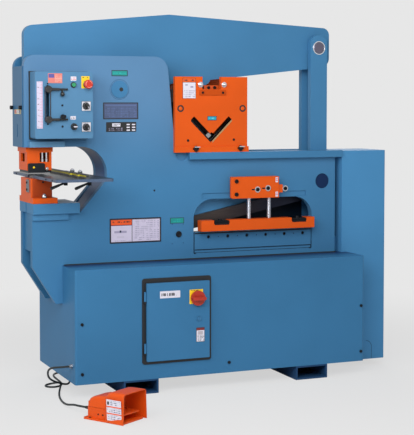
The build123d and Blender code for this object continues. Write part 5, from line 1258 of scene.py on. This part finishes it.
def foot_switch():
    """Rounded hood and dome of the guard, ribbed treadle, label and floor screws."""
    frame_of_pedal = pedal_matrix()
    wall = 4.0

    def arch(along, foot_half, top_half, foot, top, radius):
        """Cross-section of the hood: up one side, over the rounded top and down the other."""
        outer = [(-foot_half, foot)]
        outer += [(-top_half + radius + x, top - radius + z) for x, z in arc(0, 0, radius, 180, 90, 8)]
        outer += [(top_half - radius + x, top - radius + z) for x, z in arc(0, 0, radius, 90, 0, 8)]
        outer += [(foot_half, foot)]
        small = radius - wall
        inner = [(foot_half - wall, foot)]
        inner += [(top_half - radius + x, top - radius + z) for x, z in arc(0, 0, small, 0, 90, 8)]
        inner += [(-top_half + radius + x, top - radius + z) for x, z in arc(0, 0, small, 90, 180, 8)]
        inner += [(-foot_half + wall, foot)]
        return [(along, across, height) for across, height in outer + inner]

    hood = Shape()
    hood.loft([
        arch(98, 64, 60, 11, 103, 18),
        arch(102, 70, 66, 8, 107.5, 18),
        arch(112, 75, 71, 4, 121, 19),
        arch(126, 78, 73, 2.4, 126.5, 19),
        arch(140, 79, 74, 2.0, 128.6, 18),
        arch(160, 79.6, 74.5, 2.0, 129, 17),
        arch(190, 80.2, 75, 2.0, 129, 16),
        arch(205, 80.5, 75.3, 2.0, 128.6, 15),
    ])
    hood.block(98, 102, -61, 61, 56, 100)
    hood.moved(frame_of_pedal)
    hood.piece("pedal_hood", cast_orange, "machine", "orange_paint", replaces=("pedal_guard",))
    dome = Shape()
    dome.loft([
        arch(0, 55, 48, 53, 72, 12),
        arch(2, 59, 53, 53, 79, 15),
        arch(7, 61.5, 56, 53, 86, 17),
        arch(18, 62, 57, 53, 93, 18),
        arch(42, 62, 57, 53, 99, 18),
        arch(100, 62, 57, 53, 104, 18),
    ])
    dome.block(0.5, 4, -54, 54, 53, 74)
    dome.moved(frame_of_pedal)
    dome.piece("pedal_dome", cast_orange, "machine", "orange_paint")
    ribs = Shape()
    for step in range(11):
        start = 120 + 6 * step
        ribs.block(start, start + 2.6, -48, 48, 38.6, 40.6, 0.6)
    ribs.moved(frame_of_pedal)
    ribs.piece("treadle_ribs", cast_orange, "treadle", "orange_paint")
    screws = Shape()
    for across in (67.7, -67.7):
        socket_head(screws, (20, across, 8), UP, 4.5, 3)
    for along in (60, 84):
        socket_head(screws, (along, -62.2, 26), FRONT, 3.4, 1.6)
    screws.block(2, 97, -60, 60, 51.4, 53.4)
    screws.moved(frame_of_pedal)
    screws.piece("pedal_screws", black_oxide, "machine", "black_steel")
    label_place = frame_of_pedal @ Vector((158, -80.3, 58))
    label_turn = Matrix.Rotation(radians(pedal_turn), 4, "Z") @ Matrix.Rotation(radians(3.4), 4, "X")
    label("pedal_label", white_print, label_place, (76, 88), turn=label_turn,
          fields=((-38, 38, 12, 17, orange_print), (-38, 38, -17, -12, orange_print),
                  (-34, -24, 22, 36, black_print)),
          rows=((-20, 34, 20, 40, 8.0, slate_print), (-34, 34, -10, 10, 8.0, slate_print),
                (-34, 34, -40, -20, 8.0, slate_print)))
    relief = Shape()
    profile = [(0, 0), (0, 10)]
    for step in range(8):
        along = 4 + step * 6.4
        radius = 9.8 - 0.42 * step
        profile += [(along, radius), (along + 3.2, radius - 0.1),
                    (along + 3.9, radius - 2.2), (along + 5.6, radius - 2.3)]
    profile += [(56, 6.4), (60, 5.6), (60, 0)]
    tail = pedal_place + UP * relief_height
    relief.turned(tail, -pedal_forward, profile, sides=32)
    relief.piece("relief_ribs", rubber, "machine", "black_rubber", replaces=("cord_strain_relief",))


def switch_gear():
    """What stands in the enclosure: mounting plate, rails, contactors, terminals and ducts."""
    back = rim.back - 3.0
    rail_front = back - 9.5
    low, high = rim.bottom + 20, rim.top - 20
    sheet = Shape().block(-412, -108, back - 2, back, low, high, 0.6)
    sheet.piece("mounting_plate", grey_enamel, "machine", "grey_paint")
    rails, blocks, greys, screws = Shape(), Shape(), Shape(), Shape()
    for z in (430, 330, 215):
        rails.block(-392, -128, rail_front, back - 2, z - 17.5, z + 17.5)
    for step in range(3):
        x = -376 + 58 * step
        blocks.block(x, x + 45, back - 80, rail_front, 392, 468, 2)
        blocks.block(x + 5, x + 40, back - 88, back - 80, 412, 448, 1.5)
        for pole in range(3):
            for z in (460, 400):
                screws.button((x + 9 + 13.5 * pole, back - 80, z), FRONT, 3.4, 1, 3.2, sides=16)
    for step in range(2):
        x = -200 + 36 * step
        greys.block(x, x + 30, back - 72, rail_front, 388, 472, 2)
        blocks.block(x + 10, x + 20, back - 79, back - 72, 420, 440, 1)
    blocks.block(-384, -314, back - 66, rail_front, 296, 364, 2)
    greys.block(-300, -262, back - 74, rail_front, 292, 368, 2)
    for step in range(20):
        x = -250 + 6 * step
        greys.block(x, x + 5.2, back - 52, rail_front, 305, 355, 0.5)
    for step in range(34):
        x = -384 + 7.2 * step
        greys.block(x, x + 6.4, back - 48, rail_front, 192, 238, 0.6)
        for z in (228, 202):
            screws.button((x + 3.2, back - 48, z), FRONT, 2.2, 0.6, 2.0, sides=12)
    rails.piece("din_rails", turned_steel, "machine", "bright_steel")
    blocks.piece("contactors", black_plastic, "machine", "black_plastic")
    greys.piece("breakers_and_terminals", switch_white, "machine", "grey_paint")
    screws.piece("terminal_screws", chrome, "machine", "bright_steel")
    duct = Shape()
    for z in (272, 378):
        duct.block(-396, -124, back - 44, back - 2, z - 12, z + 12, 1)
        for step in range(26):
            x = -392 + 10.2 * step
            duct.block(x, x + 5, back - 46, back - 30, z - 13, z + 13)
    duct.piece("wire_ducts", grey_enamel, "machine", "grey_paint")


def floor_and_light():
    """A pale floor that runs into the background, three soft lights and an even fill."""
    fill_level = 0.48
    ground = bpy.data.meshes.new("floor")
    builder = bmesh.new()
    bmesh.ops.create_circle(builder, cap_ends=True, radius=14, segments=96)
    builder.to_mesh(ground)
    builder.free()
    floor = bpy.data.objects.new("floor", ground)
    scene.collection.objects.link(floor)
    backdrop = linear(231, 231, 231)
    finish = Finish("floor_finish", backdrop, 0.9, Specular_IOR_Level=0.1)
    across, depth, _ = finish.place()
    reach = (across * across + depth * depth).root()
    seen = finish.node("ShaderNodeLightPath", output="Is Camera Ray")
    glow = finish.node("ShaderNodeEmission", inputs={"Color": backdrop, "Strength": 1.0})
    share = seen * (0.76 + reach.ease(1200, 3200) * 0.24)
    blend = finish.node("ShaderNodeMixShader", inputs={0: share, 2: glow})
    finish.tree.links.new(finish.shader.outputs[0], blend.socket.node.inputs[1])
    finish.tree.links.new(blend.socket, finish.tree.nodes["Material Output"].inputs["Surface"])
    ground.materials.append(finish.material)
    world = bpy.data.worlds.new("world")
    scene.world = world
    world.use_nodes = True
    tree = world.node_tree
    fill = tree.nodes["Background"]
    fill.inputs["Color"].default_value = backdrop
    fill.inputs["Strength"].default_value = fill_level
    view = tree.nodes.new("ShaderNodeBackground")
    view.inputs["Color"].default_value = backdrop
    path = tree.nodes.new("ShaderNodeLightPath")
    rays = path.outputs["Is Camera Ray"]
    for kind in ("Is Glossy Ray", "Is Transmission Ray"):
        either = tree.nodes.new("ShaderNodeMath")
        either.operation = "MAXIMUM"
        tree.links.new(rays, either.inputs[0])
        tree.links.new(path.outputs[kind], either.inputs[1])
        rays = either.outputs[0]
    choice = tree.nodes.new("ShaderNodeMixShader")
    tree.links.new(rays, choice.inputs[0])
    tree.links.new(fill.outputs[0], choice.inputs[1])
    tree.links.new(view.outputs[0], choice.inputs[2])
    tree.links.new(choice.outputs[0], tree.nodes["World Output"].inputs["Surface"])
    middle = Vector((0, 0, 900)) * MM
    for name, place, size, power in (
        ("key_softbox", (-1000, -2600, 2300), 1.8, 50),
        ("left_softbox", (-3600, -2400, 2600), 2.0, 62),
        ("back_softbox", (1500, 2800, 3000), 2.4, 30),
    ):
        lamp = bpy.data.lights.new(name, "AREA")
        lamp.shape = "SQUARE"
        lamp.size = size
        lamp.energy = power
        made = bpy.data.objects.new(name, lamp)
        made.location = Vector(place) * MM
        made.rotation_euler = (middle - made.location).to_track_quat("-Z", "Y").to_euler()
        scene.collection.objects.link(made)


control_panel()
moving_controls()
frame_labels()
enclosure_labels()
angle_station()
flat_bar_station()
link_ends()
punch_station()
table_details()
foot_switch()
switch_gear()
floor_and_light()
